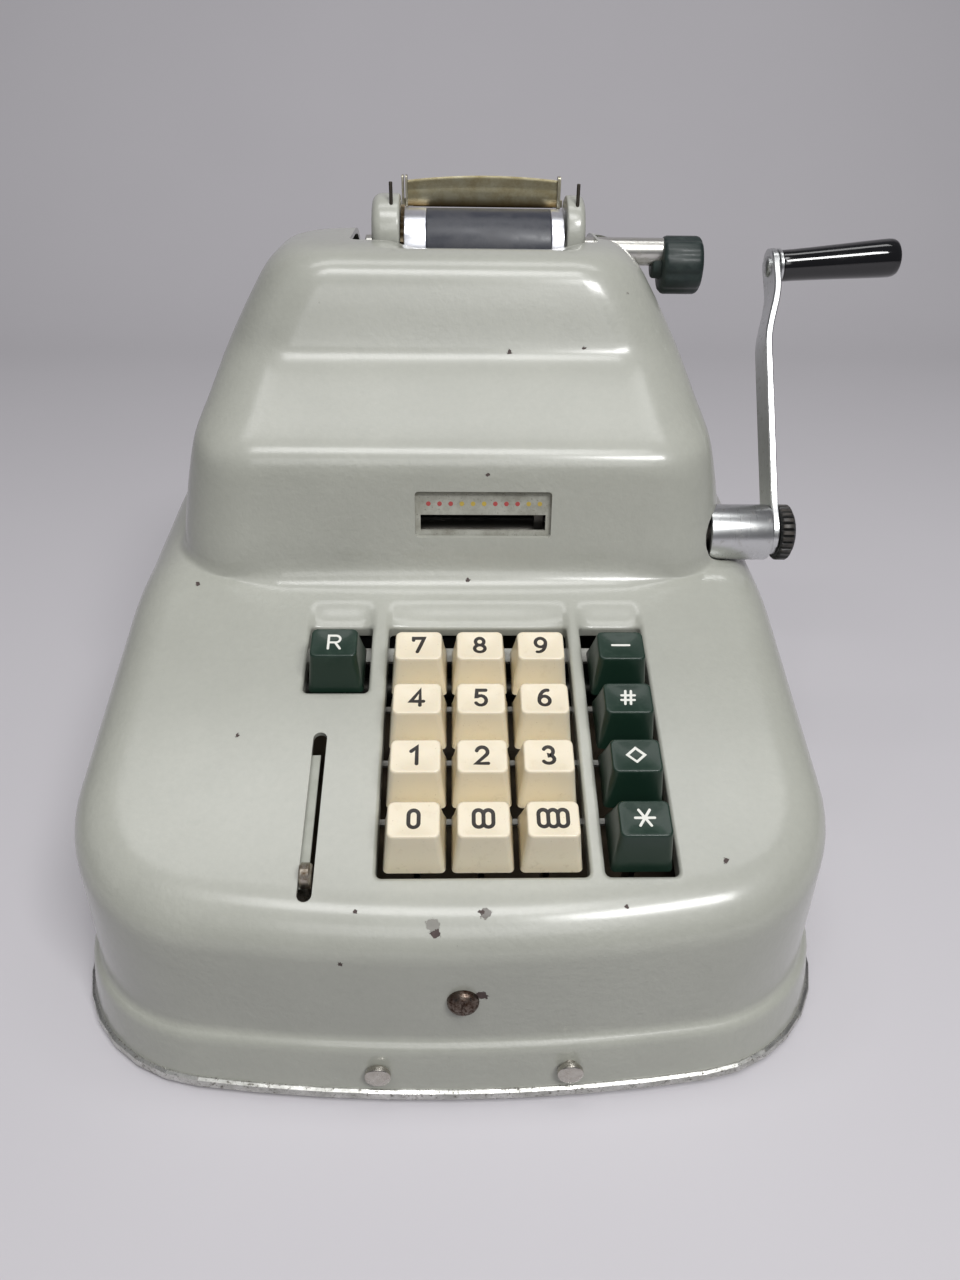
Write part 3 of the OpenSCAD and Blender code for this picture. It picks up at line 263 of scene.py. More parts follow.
# The skirt from its foot upwards: how far it stands out, and the height.
SKIRT = [(4.5, SKIRT_FOOT), (4.4, 5.5), (3.6, 12), (2.9, 17.2), (2.6, 18.6), (2.1, 19.7), (1.2, 20.4),
         (0.5, 21), (0.12, 21.9), (0, 23.2), (0, WALL_START)]
WALL_SHARES = (0.35, 0.7)
EDGE_FRONT, EDGE_REAR = 10.0, 20.0
DECK_MIDDLE_Z = 114.1
DECK_TILT = math.radians(20)
DECK_SLOPE = math.tan(DECK_TILT)
SHOULDER_SLOPE, REAR_SLOPE = math.tan(math.radians(8)), math.tan(math.radians(3))
FOLD_Y, SHOULDER_Y, SOFT = -20.0, 50.0, 9.0
# Parts of the right half of the outline with the number of steps in each. The last number is
# where on the hump's front line the part ends, as a share of that line.
PARTS = [("front", 18, 0.41), ("front_corner", 14, 0.75), ("side_front", 16, 1), ("hump_corner", 14, 1),
         ("side", 22, 1), ("rear_corner", 14, 1), ("back", 16, 1)]
SIDE_STOPS = {"side_front": (CORNER_FRONT, -20.0), "hump_corner": (-20.0, 6.0), "side": (6.0, CORNER_BACK)}
CREASE_R, CREASE_GROWTH, CREASE_GAP, CREASE_GUESS = 5, 4, (20, 80), 110
CLIMB_STEPS = 80
# Heights of the hump with its half width, front, back and corner radius at each.
HUMP_ROWS = [
    (60, 97.5, -22, 128, 24), (111, 97.5, -22, 127, 24), (128, 95.3, -20, 123, 24),
    (144, 92, -18, 118.5, 24), (149, 90.8, -15.7, 117, 24), (153, 89.6, -10.8, 116, 24),
    (158, 87.7, -3.8, 114, 24), (166, 85, 7, 111.5, 24), (171, 83.2, 13.2, 110, 24),
    (175, 81.4, 16.8, 108.5, 24), (182, 77.7, 19.4, 106, 24), (192, 72, 22.5, 101, 24),
    (199, 67.5, 25.7, 96.5, 24), (203, 63, 30.2, 92, 22), (205.2, 58, 36, 86, 19), (206, 50.5, 43, 79, 15),
]
HUMP_LEVELS = [
    118, 122, 127, 132, 137, 141, 144.5, 147, 149, 151, 153, 155, 157, 159.5, 162, 165, 168, 170.5, 172.5,
    174.5, 176.5, 178.5, 181, 184, 188, 192, 196, 199, 201, 203, 204.2, 205.2, 205.7, 206,
]
LID_STEPS = (0.12, 0.25, 0.4, 0.55, 0.7, 0.85, 0.95)
LID_MIDDLE = (0, 61)
LEVEL_GAP, LID_FROM, SIDE_SINK, DIP_FROM = 1.5, 195, 0.6, 190
PROFILE_RINGS = 46
BEND_WEIGHT = 9
DIP_LEFT, DIP_RIGHT, DIP_FRONT, DIP_BACK, DIP_DEPTH = (-26, -12.5), (38.5, 46), (37, 46), (56, 70), 2.6
PAINT = (0.432, 0.438, 0.386)


def ring_edges(mesh, loop):
    return [mesh.edges.get((a, b)) for a, b in zip(loop, loop[1:] + loop[:1])]


def grow_ring(mesh, loop, points):
    """Draws the closed edge loop out to a new one through the points, and returns it."""
    fresh = set(verts_of(bmesh.ops.extrude_edge_only(mesh, edges=ring_edges(mesh, loop))["geom"]))
    drawn = []
    for vert, point in zip(loop, points):
        far = next(e.other_vert(vert) for e in vert.link_edges if e.other_vert(vert) in fresh)
        far.co = point
        drawn.append(far)
    return drawn


def start_ring(mesh, points):
    loop = [mesh.verts.new(p) for p in points]
    for a, b in zip(loop, loop[1:] + loop[:1]):
        mesh.edges.new((a, b))
    return loop


def lofted(mesh, rings, closed=False):
    """Skin through rings of points with one count. Closed joins the last ring to the first."""
    first = start_ring(mesh, rings[0])
    loop = first
    for points in rings[1:]:
        loop = grow_ring(mesh, loop, points)
    if closed:
        bmesh.ops.bridge_loops(mesh, edges=ring_edges(mesh, first) + ring_edges(mesh, loop))
    else:
        for ring in (first, loop):
            bmesh.ops.edgeloop_fill(mesh, edges=ring_edges(mesh, ring))


def put_in(mesh, name, place=Matrix.Identity(4)):
    """Puts a closed drawing into the scene, with its faces turned outwards."""
    bmesh.ops.recalc_face_normals(mesh, faces=mesh.faces)
    mesh.transform(place)
    made = bpy.data.objects.new(name, bpy.data.meshes.new(name))
    mesh.to_mesh(made.data)
    mesh.free()
    bpy.context.scene.collection.objects.link(made)
    return made


def piece(mesh, name, finish, body, replaced=(), crease=32, loose=1e-4):
    """Turns a drawing in millimetres into a finished piece that rides on a body."""
    bmesh.ops.remove_doubles(mesh, verts=mesh.verts, dist=loose)
    made = put_in(mesh, name, TO_PLACE)
    made.data.polygons.foreach_set("use_smooth", [True] * len(made.data.polygons))
    made.data.set_sharp_from_angle(angle=math.radians(crease))
    made.data.materials.append(finish.material)
    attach(made, body)
    if replaced:
        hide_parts(*replaced)


def share_of(x, low, high):
    """0 at low and 1 at high, and no further."""
    return min(max((x - low) / (high - low), 0), 1)


def ease(x, low, high):
    t = share_of(x, low, high)
    return t * t * (3 - 2 * t)


def soft_ramp(x):
    """Zero left of 0 and x right of it, with a soft turn between."""
    return x if x > SOFT else 0.0 if x < -SOFT else (x + SOFT) ** 2 / (4 * SOFT)


def top_z(y):
    """Height of the deck and of the shoulders behind it, with soft folds."""
    fold = (SHOULDER_SLOPE - DECK_SLOPE) * soft_ramp(y - FOLD_Y)
    return DECK_MIDDLE_Z + DECK_SLOPE * y + fold + (REAR_SLOPE - SHOULDER_SLOPE) * soft_ramp(y - SHOULDER_Y)


def edge_drop(y):
    return EDGE_REAR if y > 0 else EDGE_FRONT + (EDGE_REAR - EDGE_FRONT) * (y + HALF_D) / HALF_D


def inside(x, y):
    """How far a spot lies inside the outline of the case, seen from above."""
    x = abs(x)
    if x > CORNER_X and y > CORNER_BACK:
        return CORNER - math.hypot(x - CORNER_X, y - CORNER_BACK)
    if -math.pi / 2 + BOW_TURN < math.atan2(y - CORNER_FRONT, x - CORNER_X) < 0:
        return CORNER - math.hypot(x - CORNER_X, y - CORNER_FRONT)
    return min(BOW - math.hypot(x, y - BOW_Y), HALF_W - x, HALF_D - y)


def ground_z(x, y, d):
    """Top surface of the low body with its rounded edge, d below the outer skin."""
    reach = edge_drop(y) - d
    gone = min(max(reach + d - inside(x, y), 0), reach)
    return top_z(y) - d - reach + math.sqrt(reach**2 - gone**2)


def turned(x, y, r, angle):
    return Vector((x + r * math.cos(angle), y + r * math.sin(angle)))


def case_spot(part, t):
    """Point of the right half of the outline and the direction outwards there."""
    if part == "front":
        angle = BOW_TURN * t - math.pi / 2
        return turned(0, BOW_Y, BOW, angle), turned(0, 0, 1, angle)
    if part == "front_corner":
        angle = (BOW_TURN - math.pi / 2) * (1 - t)
        return turned(CORNER_X, CORNER_FRONT, CORNER, angle), turned(0, 0, 1, angle)
    if part == "rear_corner":
        angle = math.pi / 2 * t
        return turned(CORNER_X, CORNER_BACK, CORNER, angle), turned(0, 0, 1, angle)
    if part == "back":
        return Vector((CORNER_X * (1 - t), HALF_D)), Vector((0, 1))
    low, high = SIDE_STOPS[part]
    return Vector((HALF_W, low + (high - low) * t)), Vector((1, 0))


def hump_row(z):
    """Half width, front, back and corner radius at a height, on a smooth curve through the rows."""
    k = max(i for i, row in enumerate(HUMP_ROWS[:-1]) if row[0] <= z or i == 0)
    low, high = HUMP_ROWS[k], HUMP_ROWS[k + 1]
    run = high[0] - low[0]
    t = (z - low[0]) / run
    values = []
    for j in range(1, 5):
        slopes = [(b[j] - a[j]) / (b[0] - a[0]) for a, b in zip(HUMP_ROWS, HUMP_ROWS[1:])]
        rise = slopes[k]
        ends = []
        for near in (slopes[max(k - 1, 0)], slopes[min(k + 1, len(slopes) - 1)]):
            ends.append(0 if near * rise <= 0 else 2 / (1 / near + 1 / rise))
        values.append(
            (2 * t**3 - 3 * t**2 + 1) * low[j] + (t**3 - 2 * t**2 + t) * run * ends[0]
            + (3 * t**2 - 2 * t**3) * high[j] + (t**3 - t**2) * run * ends[1]
        )
    return values


def hump_spot(part, t, z, d):
    """Point of the right half of the hump at a height, d inside the outer skin."""
    w, y0, y1, r = hump_row(z)
    flat, r = w - r, r - d
    names = [p[0] for p in PARTS]
    if part in names[:3]:
        k = names.index(part)
        begin = PARTS[k - 1][2] if k else 0
        return Vector((flat * (begin + (PARTS[k][2] - begin) * t), y0 + d))
    if part == "hump_corner":
        return turned(flat, y0 + d + r, r, math.pi / 2 * (t - 1))
    if part == "side":
        return Vector((w - d, y0 + d + r + (y1 - y0 - 2 * d - 2 * r) * t))
    if part == "rear_corner":
        return turned(flat, y1 - d - r, r, math.pi / 2 * t)
    return Vector((flat * (1 - t), y1 - d))


def whole(half):
    """Closes a half outline from the front middle to the back middle with its mirror image."""
    return half + [Vector((-p.x, p.y, p.z)) for p in half[-2:0:-1]]


def evenly(points, count):
    """Draws a curve again with a fixed number of points, closer together where it bends."""
    marks = [0.0]
    for k in range(1, len(points)):
        step = points[k] - points[k - 1]
        before = points[k - 1] - points[k - 2] if k > 1 else step
        marks.append(marks[-1] + step.length + BEND_WEIGHT * before.angle(step, 0))
    drawn = []
    k = 1
    for n in range(count + 1):
        mark = marks[-1] * n / count
        while k < len(marks) - 1 and marks[k] < mark:
            k += 1
        drawn.append(points[k - 1].lerp(points[k], share_of(mark, marks[k - 1], marks[k])))
    return drawn


def dip(x, y):
    """The hollow in front of the platen that lets the printed line be read."""
    across_it = ease(x, *DIP_LEFT) * (1 - ease(x, *DIP_RIGHT))
    return DIP_DEPTH * across_it * ease(y, *DIP_FRONT) * (1 - ease(y, *DIP_BACK))


def climb(part, t, d):
    """Line up the shell: over the rounded edge, along the deck and up the crease to the hump."""
    edge, out = case_spot(part, t)
    start = edge - out * d
    z = CREASE_GUESS
    for _ in range(4):
        foot = hump_spot(part, t, z, d)
        z = ground_z(foot.x, foot.y, d)
    fillet = CREASE_R + CREASE_GROWTH * share_of((foot - start).length, *CREASE_GAP)
    before = foot + (start - foot).normalized() * fillet
    line = []
    for k in range(CLIMB_STEPS + 1):
        spot = start.lerp(before, (k / CLIMB_STEPS) ** 2)
        line.append(Vector((spot.x, spot.y, ground_z(spot.x, spot.y, d))))
    high = z + fillet
    side = hump_spot(part, t, high, d)
    knee, end = Vector((foot.x, foot.y, z)), Vector((side.x, side.y, high))
    begin = line[-1]
    for u in (k / 10 for k in range(1, 11)):
        line.append(begin * (1 - u) ** 2 + knee * 2 * u * (1 - u) + end * u**2)
    return evenly(line, PROFILE_RINGS)


def cover_skin(d):
    """Rings of one skin of the shell from its foot to the middle of the hump's top."""
    half = [(part, i / steps) for part, steps, _ in PARTS for i in range(steps)] + [("back", 1)]
    rings = []
    for out, z in SKIRT:
        ring = [edge + n * (out - d) for edge, n in (case_spot(*h) for h in half)]
        rings.append(whole([Vector((p.x, p.y, z)) for p in ring]))
    lines = [climb(part, t, d) for part, t in half]
    for share in WALL_SHARES:
        starts = [line[0] for line in lines]
        rings.append(whole([Vector((p.x, p.y, WALL_START + (p.z - WALL_START) * share)) for p in starts]))
    for k in range(PROFILE_RINGS + 1):
        rings.append(whole([line[k] for line in lines]))
    low, top = HUMP_LEVELS[0], HUMP_LEVELS[-1]
    for level in HUMP_LEVELS:
        ring = []
        share = (level - low) / (top - low)
        for (part, t), line in zip(half, lines):
            z = min(level + max(line[-1].z - low + LEVEL_GAP, 0) * (1 - share), top)
            spot = hump_spot(part, t, z, d)
            sink = 1 if level > LID_FROM else SIDE_SINK * share
            ring.append(Vector((spot.x, spot.y, z - d * sink)))
        rings.append(whole(ring))
    last = rings[-1]
    middle = Vector((*LID_MIDDLE, last[0].z))
    rings += [[p.lerp(middle, t) for p in last] for t in LID_STEPS]
    return [[(p.x, p.y, p.z - (dip(p.x, p.y) if p.z > DIP_FROM else 0)) for p in ring] for ring in rings]


cover_mesh = bmesh.new()
outer_skin = cover_skin(0)
foot_loop = start_ring(cover_mesh, outer_skin[0])
for skin in (outer_skin[1:], cover_skin(WALL)):
    loop = foot_loop
    for points in skin:
        loop = grow_ring(cover_mesh, loop, points)
    bmesh.ops.edgeloop_fill(cover_mesh, edges=ring_edges(cover_mesh, loop))

# Openings of the deck: middle, width, front and back along the slope. Each gets a lip that
# turns down, and behind the last key row the lip is drawn out to a finger hollow.
DECK_PLACE = Matrix.Translation((0, 0, DECK_MIDDLE_Z)) @ Matrix.Rotation(DECK_TILT, 4, "X")
FIRST_ROW, ROW_PITCH, KEY_PITCH = -125.2, 20.4, 19.2
ROWS = [FIRST_ROW + ROW_PITCH * i for i in range(4)]
KEYS_X, FUNCTION_X, REPEAT_X, REPEAT_S = 8.1, 52.7, -37.7, -62.8
FIELD_W, COLUMN_W = 59.8, 20.8
OPEN_FRONT, REPEAT_FRONT, OPEN_BACK = ROWS[0] - 11.1, REPEAT_S - 10.15, ROWS[3] + 19.2
OPENINGS = [
    (KEYS_X, FIELD_W, OPEN_FRONT, OPEN_BACK),
    (FUNCTION_X, COLUMN_W, OPEN_FRONT, OPEN_BACK),
    (REPEAT_X, COLUMN_W, REPEAT_FRONT, OPEN_BACK),
]
LIP_R, LIP_FOOT, LIP_T, HOLLOW_R = 1.2, 6.0, 1.3, 4
HOLLOW_SIDE, HOLLOW_BACK, HOLLOW_FRONT, HOLLOW_DEEP, HOLLOW_EDGE = 2.0, 11.0, 7, 2.0, 5


def rounded(x, y, w, d, r, arc_steps=6, side_steps=1):
    """Rectangle round its middle with round corners, and with points along its sides if wanted."""
    a, b = w / 2 - r, d / 2 - r
    corners = [(x + a, y - b, -90), (x + a, y + b, 0), (x - a, y + b, 90), (x - a, y - b, 180)]
    points = []
    for k, (cx, cy, angle) in enumerate(corners):
        for t in range(arc_steps + 1):
            points.append(turned(cx, cy, r, math.radians(angle + 90 * t / arc_steps)))
        next_x, next_y, next_angle = corners[(k + 1) % 4]
        begin, end = points[-1], turned(next_x, next_y, r, math.radians(next_angle))
        points += [begin.lerp(end, t / side_steps) for t in range(1, side_steps)]
    return points


def opening_points(opening, side, back, radius):
    """Outline of an opening grown by side on three sides and by back at the rear."""
    x, w, low, high = opening
    middle = (low - side + high + back) / 2
    return rounded(x, middle, w + 2 * side, high - low + back + side, radius, 8, 8)


def hollow(opening, spot):
    """How deep the sheet is dented at a spot behind an opening, for the fingertip."""
    x, w, _, back = opening
    beside = ease(w / 2 + HOLLOW_SIDE - abs(spot.x - x), 0, HOLLOW_EDGE)
    behind = ease(back + HOLLOW_BACK - spot.y, 0, HOLLOW_BACK - LIP_R)
    return HOLLOW_DEEP * beside * behind * ease(spot.y, back - HOLLOW_FRONT, back - 1)


def lip_rings(opening):
    """The dent behind the opening, then the sheet rolled over and drawn down, and back below."""
    over = [math.radians(15 * k) for k in range(7)]
    back = [HOLLOW_BACK + (LIP_R - HOLLOW_BACK) * k / 9 for k in range(10)]
    side = [HOLLOW_SIDE + (LIP_R - HOLLOW_SIDE) * k / 9 for k in range(10)]
    # Each ring: growth at the sides and at the back, corner radius, depth below the deck
    spots = [(s, b, HOLLOW_R - 0.2 * k, 0) for k, (s, b) in enumerate(zip(side, back))]
    for k, a in enumerate(over[1:]):
        left = LIP_R * (1 - math.sin(a))
        spots.append((left, left, 2.2 - 0.1 * k, LIP_R * (1 - math.cos(a))))
    spots += [(0, 0, 1.6, LIP_FOOT), (LIP_T, LIP_T, 2.4, LIP_FOOT), (LIP_T, LIP_T, 2.6, 4.2),
              (HOLLOW_SIDE, HOLLOW_BACK - 2, HOLLOW_R, 3.6), (HOLLOW_SIDE, HOLLOW_BACK, HOLLOW_R, WALL)]
    rings = []
    for s, b, radius, down in spots:
        ring = opening_points(opening, s, b, radius)
        bent = down < 3 and down != WALL
        rings.append([
            DECK_PLACE @ Vector((p.x, p.y, -down - (hollow(opening, p) if bent else 0))) for p in ring
        ])
    return rings


lips = bmesh.new()
for opening in OPENINGS:
    lofted(lips, lip_rings(opening), closed=True)

cutters = bmesh.new()
CUT_REACH, SLOT_REACH = 16, 9


def prism(mesh, outline, place, low, high):
    lofted(mesh, [[place @ Vector((p[0], p[1], h)) for p in outline] for h in (low, high)])


for opening in OPENINGS:
    outline = opening_points(opening, HOLLOW_SIDE, HOLLOW_BACK, HOLLOW_R)
    prism(cutters, outline, DECK_PLACE, -CUT_REACH, CUT_REACH)

SLOT_X, SLOT_W, SLOT_FRONT, SLOT_BACK = -40.9, 4.2, -143.3, -88.3


def stadium(x, r, low, high, steps=10):
    """Slot with round ends."""
    ends = [(low + r, math.pi), (high - r, 0)]
    return [turned(x, s, r, a + math.pi * t / steps) for s, a in ends for t in range(steps + 1)]


slot = stadium(SLOT_X, SLOT_W / 2, SLOT_FRONT, SLOT_BACK)
prism(cutters, slot, DECK_PLACE, -SLOT_REACH, SLOT_REACH)
WINDOW_X, WINDOW_Z, WINDOW_W, WINDOW_H, WINDOW_R, WINDOW_REACH = 10, 129, 46.6, 16, 1.3, 45
NOTCH_X, NOTCH_W, NOTCH_FRONT, NOTCH_FOOT, NOTCH_L, NOTCH_R, NOTCH_ABOVE = 7.5, 91, 50.5, 161, 150, 4, 260
# Holes of the crank hub, the platen shaft and the locking screw: place, radius, and the reach
# of each along its axis.
CRANK_Y, CRANK_Z, HUB_HOLE_R, HUB_HOLE_REACH = -5, 116.2, 10.45, (88, 130)
PLATEN_Y, PLATEN_Z, SHAFT_HOLE_R, SHAFT_HOLE_REACH = 67, 200.4, 7.5, (54, 130)
LOCK_X, LOCK_Z, LOCK_HOLE_R, LOCK_HOLE_REACH = 2.5, 37.8, 2.6, (138, 155)
FACE_PLACE = Matrix.Rotation(math.pi / 2, 4, "X")
SIDE_PLACE = Matrix.Rotation(math.pi / 2, 4, "Y")


def disc(x, y, r, steps=40):
    return [turned(x, y, r, 2 * math.pi * k / steps) for k in range(steps)]


prism(cutters, rounded(WINDOW_X, WINDOW_Z, WINDOW_W, WINDOW_H, WINDOW_R), FACE_PLACE, 0, WINDOW_REACH)
prism(cutters, rounded(NOTCH_X, NOTCH_FRONT + NOTCH_L / 2, NOTCH_W, NOTCH_L, NOTCH_R), Matrix.Identity(4),
      NOTCH_FOOT, NOTCH_ABOVE)
prism(cutters, disc(-CRANK_Z, CRANK_Y, HUB_HOLE_R), SIDE_PLACE, *HUB_HOLE_REACH)
prism(cutters, disc(-PLATEN_Z, PLATEN_Y, SHAFT_HOLE_R), SIDE_PLACE, *SHAFT_HOLE_REACH)
prism(cutters, disc(LOCK_X, LOCK_Z, LOCK_HOLE_R, 24), FACE_PLACE, *LOCK_HOLE_REACH)

shell, tools, lip_walls = put_in(cover_mesh, "shell"), put_in(cutters, "shell_tools"), put_in(lips, "lips")
cut = shell.modifiers.new("openings", "BOOLEAN")
cut.operation = "DIFFERENCE"
cut.solver = "EXACT"
cut.object = tools
evaluated = shell.evaluated_get(bpy.context.evaluated_depsgraph_get())
cover_mesh = bmesh.new()
for part in (evaluated.to_mesh(), lip_walls.data):
    cover_mesh.from_mesh(part)
for spare in (shell, tools, lip_walls):
    bpy.data.objects.remove(spare)

# Chips and specks in the case's paint: place, size, and how much of the brown primer shows.
CHIPS = [
    (-5.6, -140.2, 61.9, 1.9, 0.5), (-4.9, -141.6, 60.1, 1.2, 1), (8.3, -137.7, 63.5, 1.5, 0.7),
    (7.2, -137.5, 63.6, 0.9, 1), (7.8, -145.4, 39.8, 1.7, 1), (-26.6, -137.2, 63.7, 0.55, 1),
    (-30.6, -144.5, 51.8, 0.5, 1), (1.2, -143.2, 57.0, 0.6, 1), (4.7, -25.0, 106.5, 0.75, 1),
    (19.4, 16.6, 174.6, 0.8, 1), (45.3, 17.3, 176.0, 0.55, 1), (11.2, -18.2, 142.6, 0.5, 1),
    (-88.9, -24.7, 105.0, 1.0, 1), (-66.2, -84.0, 83.5, 0.55, 1), (76.5, -123.9, 69.0, 0.9, 1),
    (47.0, -136.0, 63.8, 0.6, 1),
]
PRIMER, PRIMER_PALE = (0.035, 0.026, 0.024), (0.11, 0.075, 0.07)


def enamel(name, colour=PAINT, worn=0.0, chips=()):
    """Stove enamel with orange peel, faint soiling and small chips down to brown primer."""
    paint = Finish(name, colour, roughness=0.42, coat=1.0, coat_roughness=0.19)
    darker, paler, stained, mottled = [[c * k for c in colour] for k in (0.94, 1.05, 0.82, 0.72)]
    tone = paint.mix(paint.step(paint.noise(55, 4), 0.35, 0.7), darker, paler)
    tone = paint.mix(paint.step(paint.noise(9, 5, 0.7), 0.58, 0.78) * 0.3, tone, stained)
    tone = paint.mix(paint.step(paint.noise(2.2, 4, 0.65), 0.3, 0.8) * 0.22, tone, mottled)
    flecks = paint.node("ShaderNodeTexVoronoi", {"feature": "F1"}, {"Vector": paint.place(), "Scale": 62.0})
    ragged = paint.noise(0.9, 3)
    chip = paint.step(flecks + ragged * 0.14, 0.112 + worn, 0.104 + worn)
    chip = chip * paint.step(paint.noise(26, 2), 0.61, 0.65)
    for x, y, z, size, bare in chips:
        spot = TO_PLACE @ Vector((x, y, z))
        away = paint.away_from(paint.place(), spot)
        near = paint.step(away + (paint.noise(1.8, 4, 0.7) - 0.5) * 0.0036, size / 1000, size / 1150)
        chip = chip.most(near * bare)
    paint.tone(chip, tone, paint.mix(paint.noise(1.2, 3), PRIMER, PRIMER_PALE))
    paint.feed("Roughness", 0.4 + paint.noise(1.6, 2) * 0.05 + paint.noise(20, 3) * 0.08 + chip * 0.25)
    paint.feed("Coat Weight", 1 - chip)
    rough_front = paint.step(paint.noise(40, 2), 0.35, 0.6) * 0.6 + 0.4
    peel = paint.noise(1.7, 2) * 0.5 + paint.noise(4.5, 2) * 0.5
    skin = paint.relief(peel * rough_front, 0.26)
    paint.feed("Normal", paint.relief(1 - chip, 0.12, under=skin))
    return paint


case_enamel = enamel("case_enamel", chips=CHIPS)
piece(cover_mesh, "case_shell", case_enamel, "chassis", ["case_cover"], crease=38)

# Keys: moulded caps in ivory and in dark green plastic with rounded edges and a shallow
# hollow for the fingertip, each pressed onto a steel stem that runs down into the case.
CAP_LOW, CAP_W, CAP_D, DISH = -1.9, 17.7, 18.4, 0.5
STEM_W, STEM_D, STEM_L, STEM_IN_CAP = 1.8, 6.0, 44.0, 0.4
# The second ivory is a paler copy for the caps' sides: painted light that stands for the light falling on
# their fronts.
IVORY, IVORY_LIT_SIDE, IVORY_DIRT = (0.83, 0.74, 0.57), (0.90, 0.81, 0.60), (0.45, 0.34, 0.18)
# The second green is the tops' worn colour, made paler as painted light from above.
GREEN, GREEN_WORN_AND_LIT = (0.010, 0.030, 0.019), (0.028, 0.055, 0.038)
# Rings of a cap from its foot upwards: height, width, depth and corner radius.
CAP_RINGS = [
    (CAP_LOW, 17.2, 17.9, 1.3), (CAP_LOW + 0.35, CAP_W, CAP_D, 1.5), (1.6, 16.75, 16.6, 1.6),
    (5.2, 15.95, 14.7, 1.7), (8.8, 15.2, 12.9, 1.75), (11.8, 14.65, 11.4, 1.8), (12.2, 14.5, 11.15, 1.75),
    (12.46, 14.15, 10.8, 1.65), (12.58, 13.75, 10.4, 1.55), (12.58, 13.3, 10.0, 1.45),
]
LID_SHARES = (0.86, 0.68, 0.48, 0.28, 0.1)


def cap_height(u, v):
    """Top of a key cap at a spot measured from its middle."""
    top, w, d, _ = CAP_RINGS[-1]
    a, b = min(abs(u) / (w / 2), 1), min(abs(v) / (d / 2), 1)
    return top - DISH * (1 - a * a) * (1 - b * b)


def key_cap(x, s):
    mesh = bmesh.new()
    rings = [[Vector((*p, h)) for p in rounded(x, s, w, d, r, 5, 4)] for h, w, d, r in CAP_RINGS]
    for share in LID_SHARES:
        ring = []
        for p in rings[len(CAP_RINGS) - 1]:
            u, v = (p.x - x) * share, (p.y - s) * share
            ring.append(Vector((x + u, s + v, cap_height(u, v))))
        rings.append(ring)
    lofted(mesh, [[DECK_PLACE @ p for p in ring] for ring in rings])
    return mesh


def deck_level(paint):
    """Height above the deck plane in millimetres, as a shader value."""
    up = (0, -math.sin(DECK_TILT), math.cos(DECK_TILT))
    along = paint.node("ShaderNodeVectorMath", {"operation": "DOT_PRODUCT"}, {0: paint.place(), 1: up}, out=1)
    return along * 1000 - DECK_MIDDLE_Z * math.cos(DECK_TILT)


ivory = Finish("key_ivory", IVORY, coat=0.25, coat_roughness=0.18)
level = deck_level(ivory)
# Painted light: the caps' sides are painted paler towards their foot, and noise adds a random tone over the
# whole cap.
side_light_and_tone = (1 - ivory.step(level, 2.0, 12.4)) * 0.6 + ivory.noise(11, 3) * 0.3
grime = ivory.step(ivory.noise(3.2, 5, 0.7), 0.56, 0.75) * (0.16 + (1 - ivory.step(level, -1.5, 4)) * 0.45)
specks = ivory.step(ivory.noise(0.55, 1), 0.74, 0.78) * 0.5
ivory.tone(grime.most(specks), ivory.mix(side_light_and_tone, IVORY, IVORY_LIT_SIDE), IVORY_DIRT)
ivory.feed("Roughness", 0.24 + ivory.noise(4, 4) * 0.14 + grime * 0.3)
ivory.feed("Normal", ivory.relief(ivory.noise(1.5, 2), 0.02, 0.5))
ivory.shader.inputs["Subsurface Weight"].default_value = 0.12
ivory.shader.inputs["Subsurface Radius"].default_value = (0.002, 0.0014, 0.0008)

green = Finish("key_green", GREEN, coat=0.2, coat_roughness=0.12, ior=1.42)
level = deck_level(green)
# Paler patches on the caps' tops: partly wear, partly painted light from above.
top_wear_and_light = green.step(green.noise(2.8, 5, 0.7), 0.5, 0.78) * green.step(level, 9, 12.5)
green.tone(top_wear_and_light * 0.8, GREEN, GREEN_WORN_AND_LIT)
green.feed("Roughness", 0.3 + green.noise(5, 4) * 0.1 + top_wear_and_light * 0.2)
green.feed("Normal", green.relief(green.noise(1.4, 2), 0.012, 0.4))

stem_steel = Finish("stem_steel", (0.16, 0.155, 0.145), metallic=1.0)
stem_steel.gloss(0.34, 0.2, 3)


def arc(cx, cy, rx, ry, begin, end, steps=12):
    turn = [math.radians(begin + (end - begin) * t / steps) for t in range(steps + 1)]
    return [(cx + rx * math.cos(a), cy + ry * math.sin(a)) for a in turn]


def loops(count, half_height=2.3, pitch=2.55):
    """Narrow noughts side by side that share the strokes between them."""
    strokes = []
    for k in range(count):
        cx = (k - (count - 1) / 2) * pitch
        r = pitch / 2
        ring = arc(cx, half_height - r, r, r, 0, 180) + arc(cx, r - half_height, r, r, 180, 360)
        strokes.append(ring + ring[:1])
    return strokes


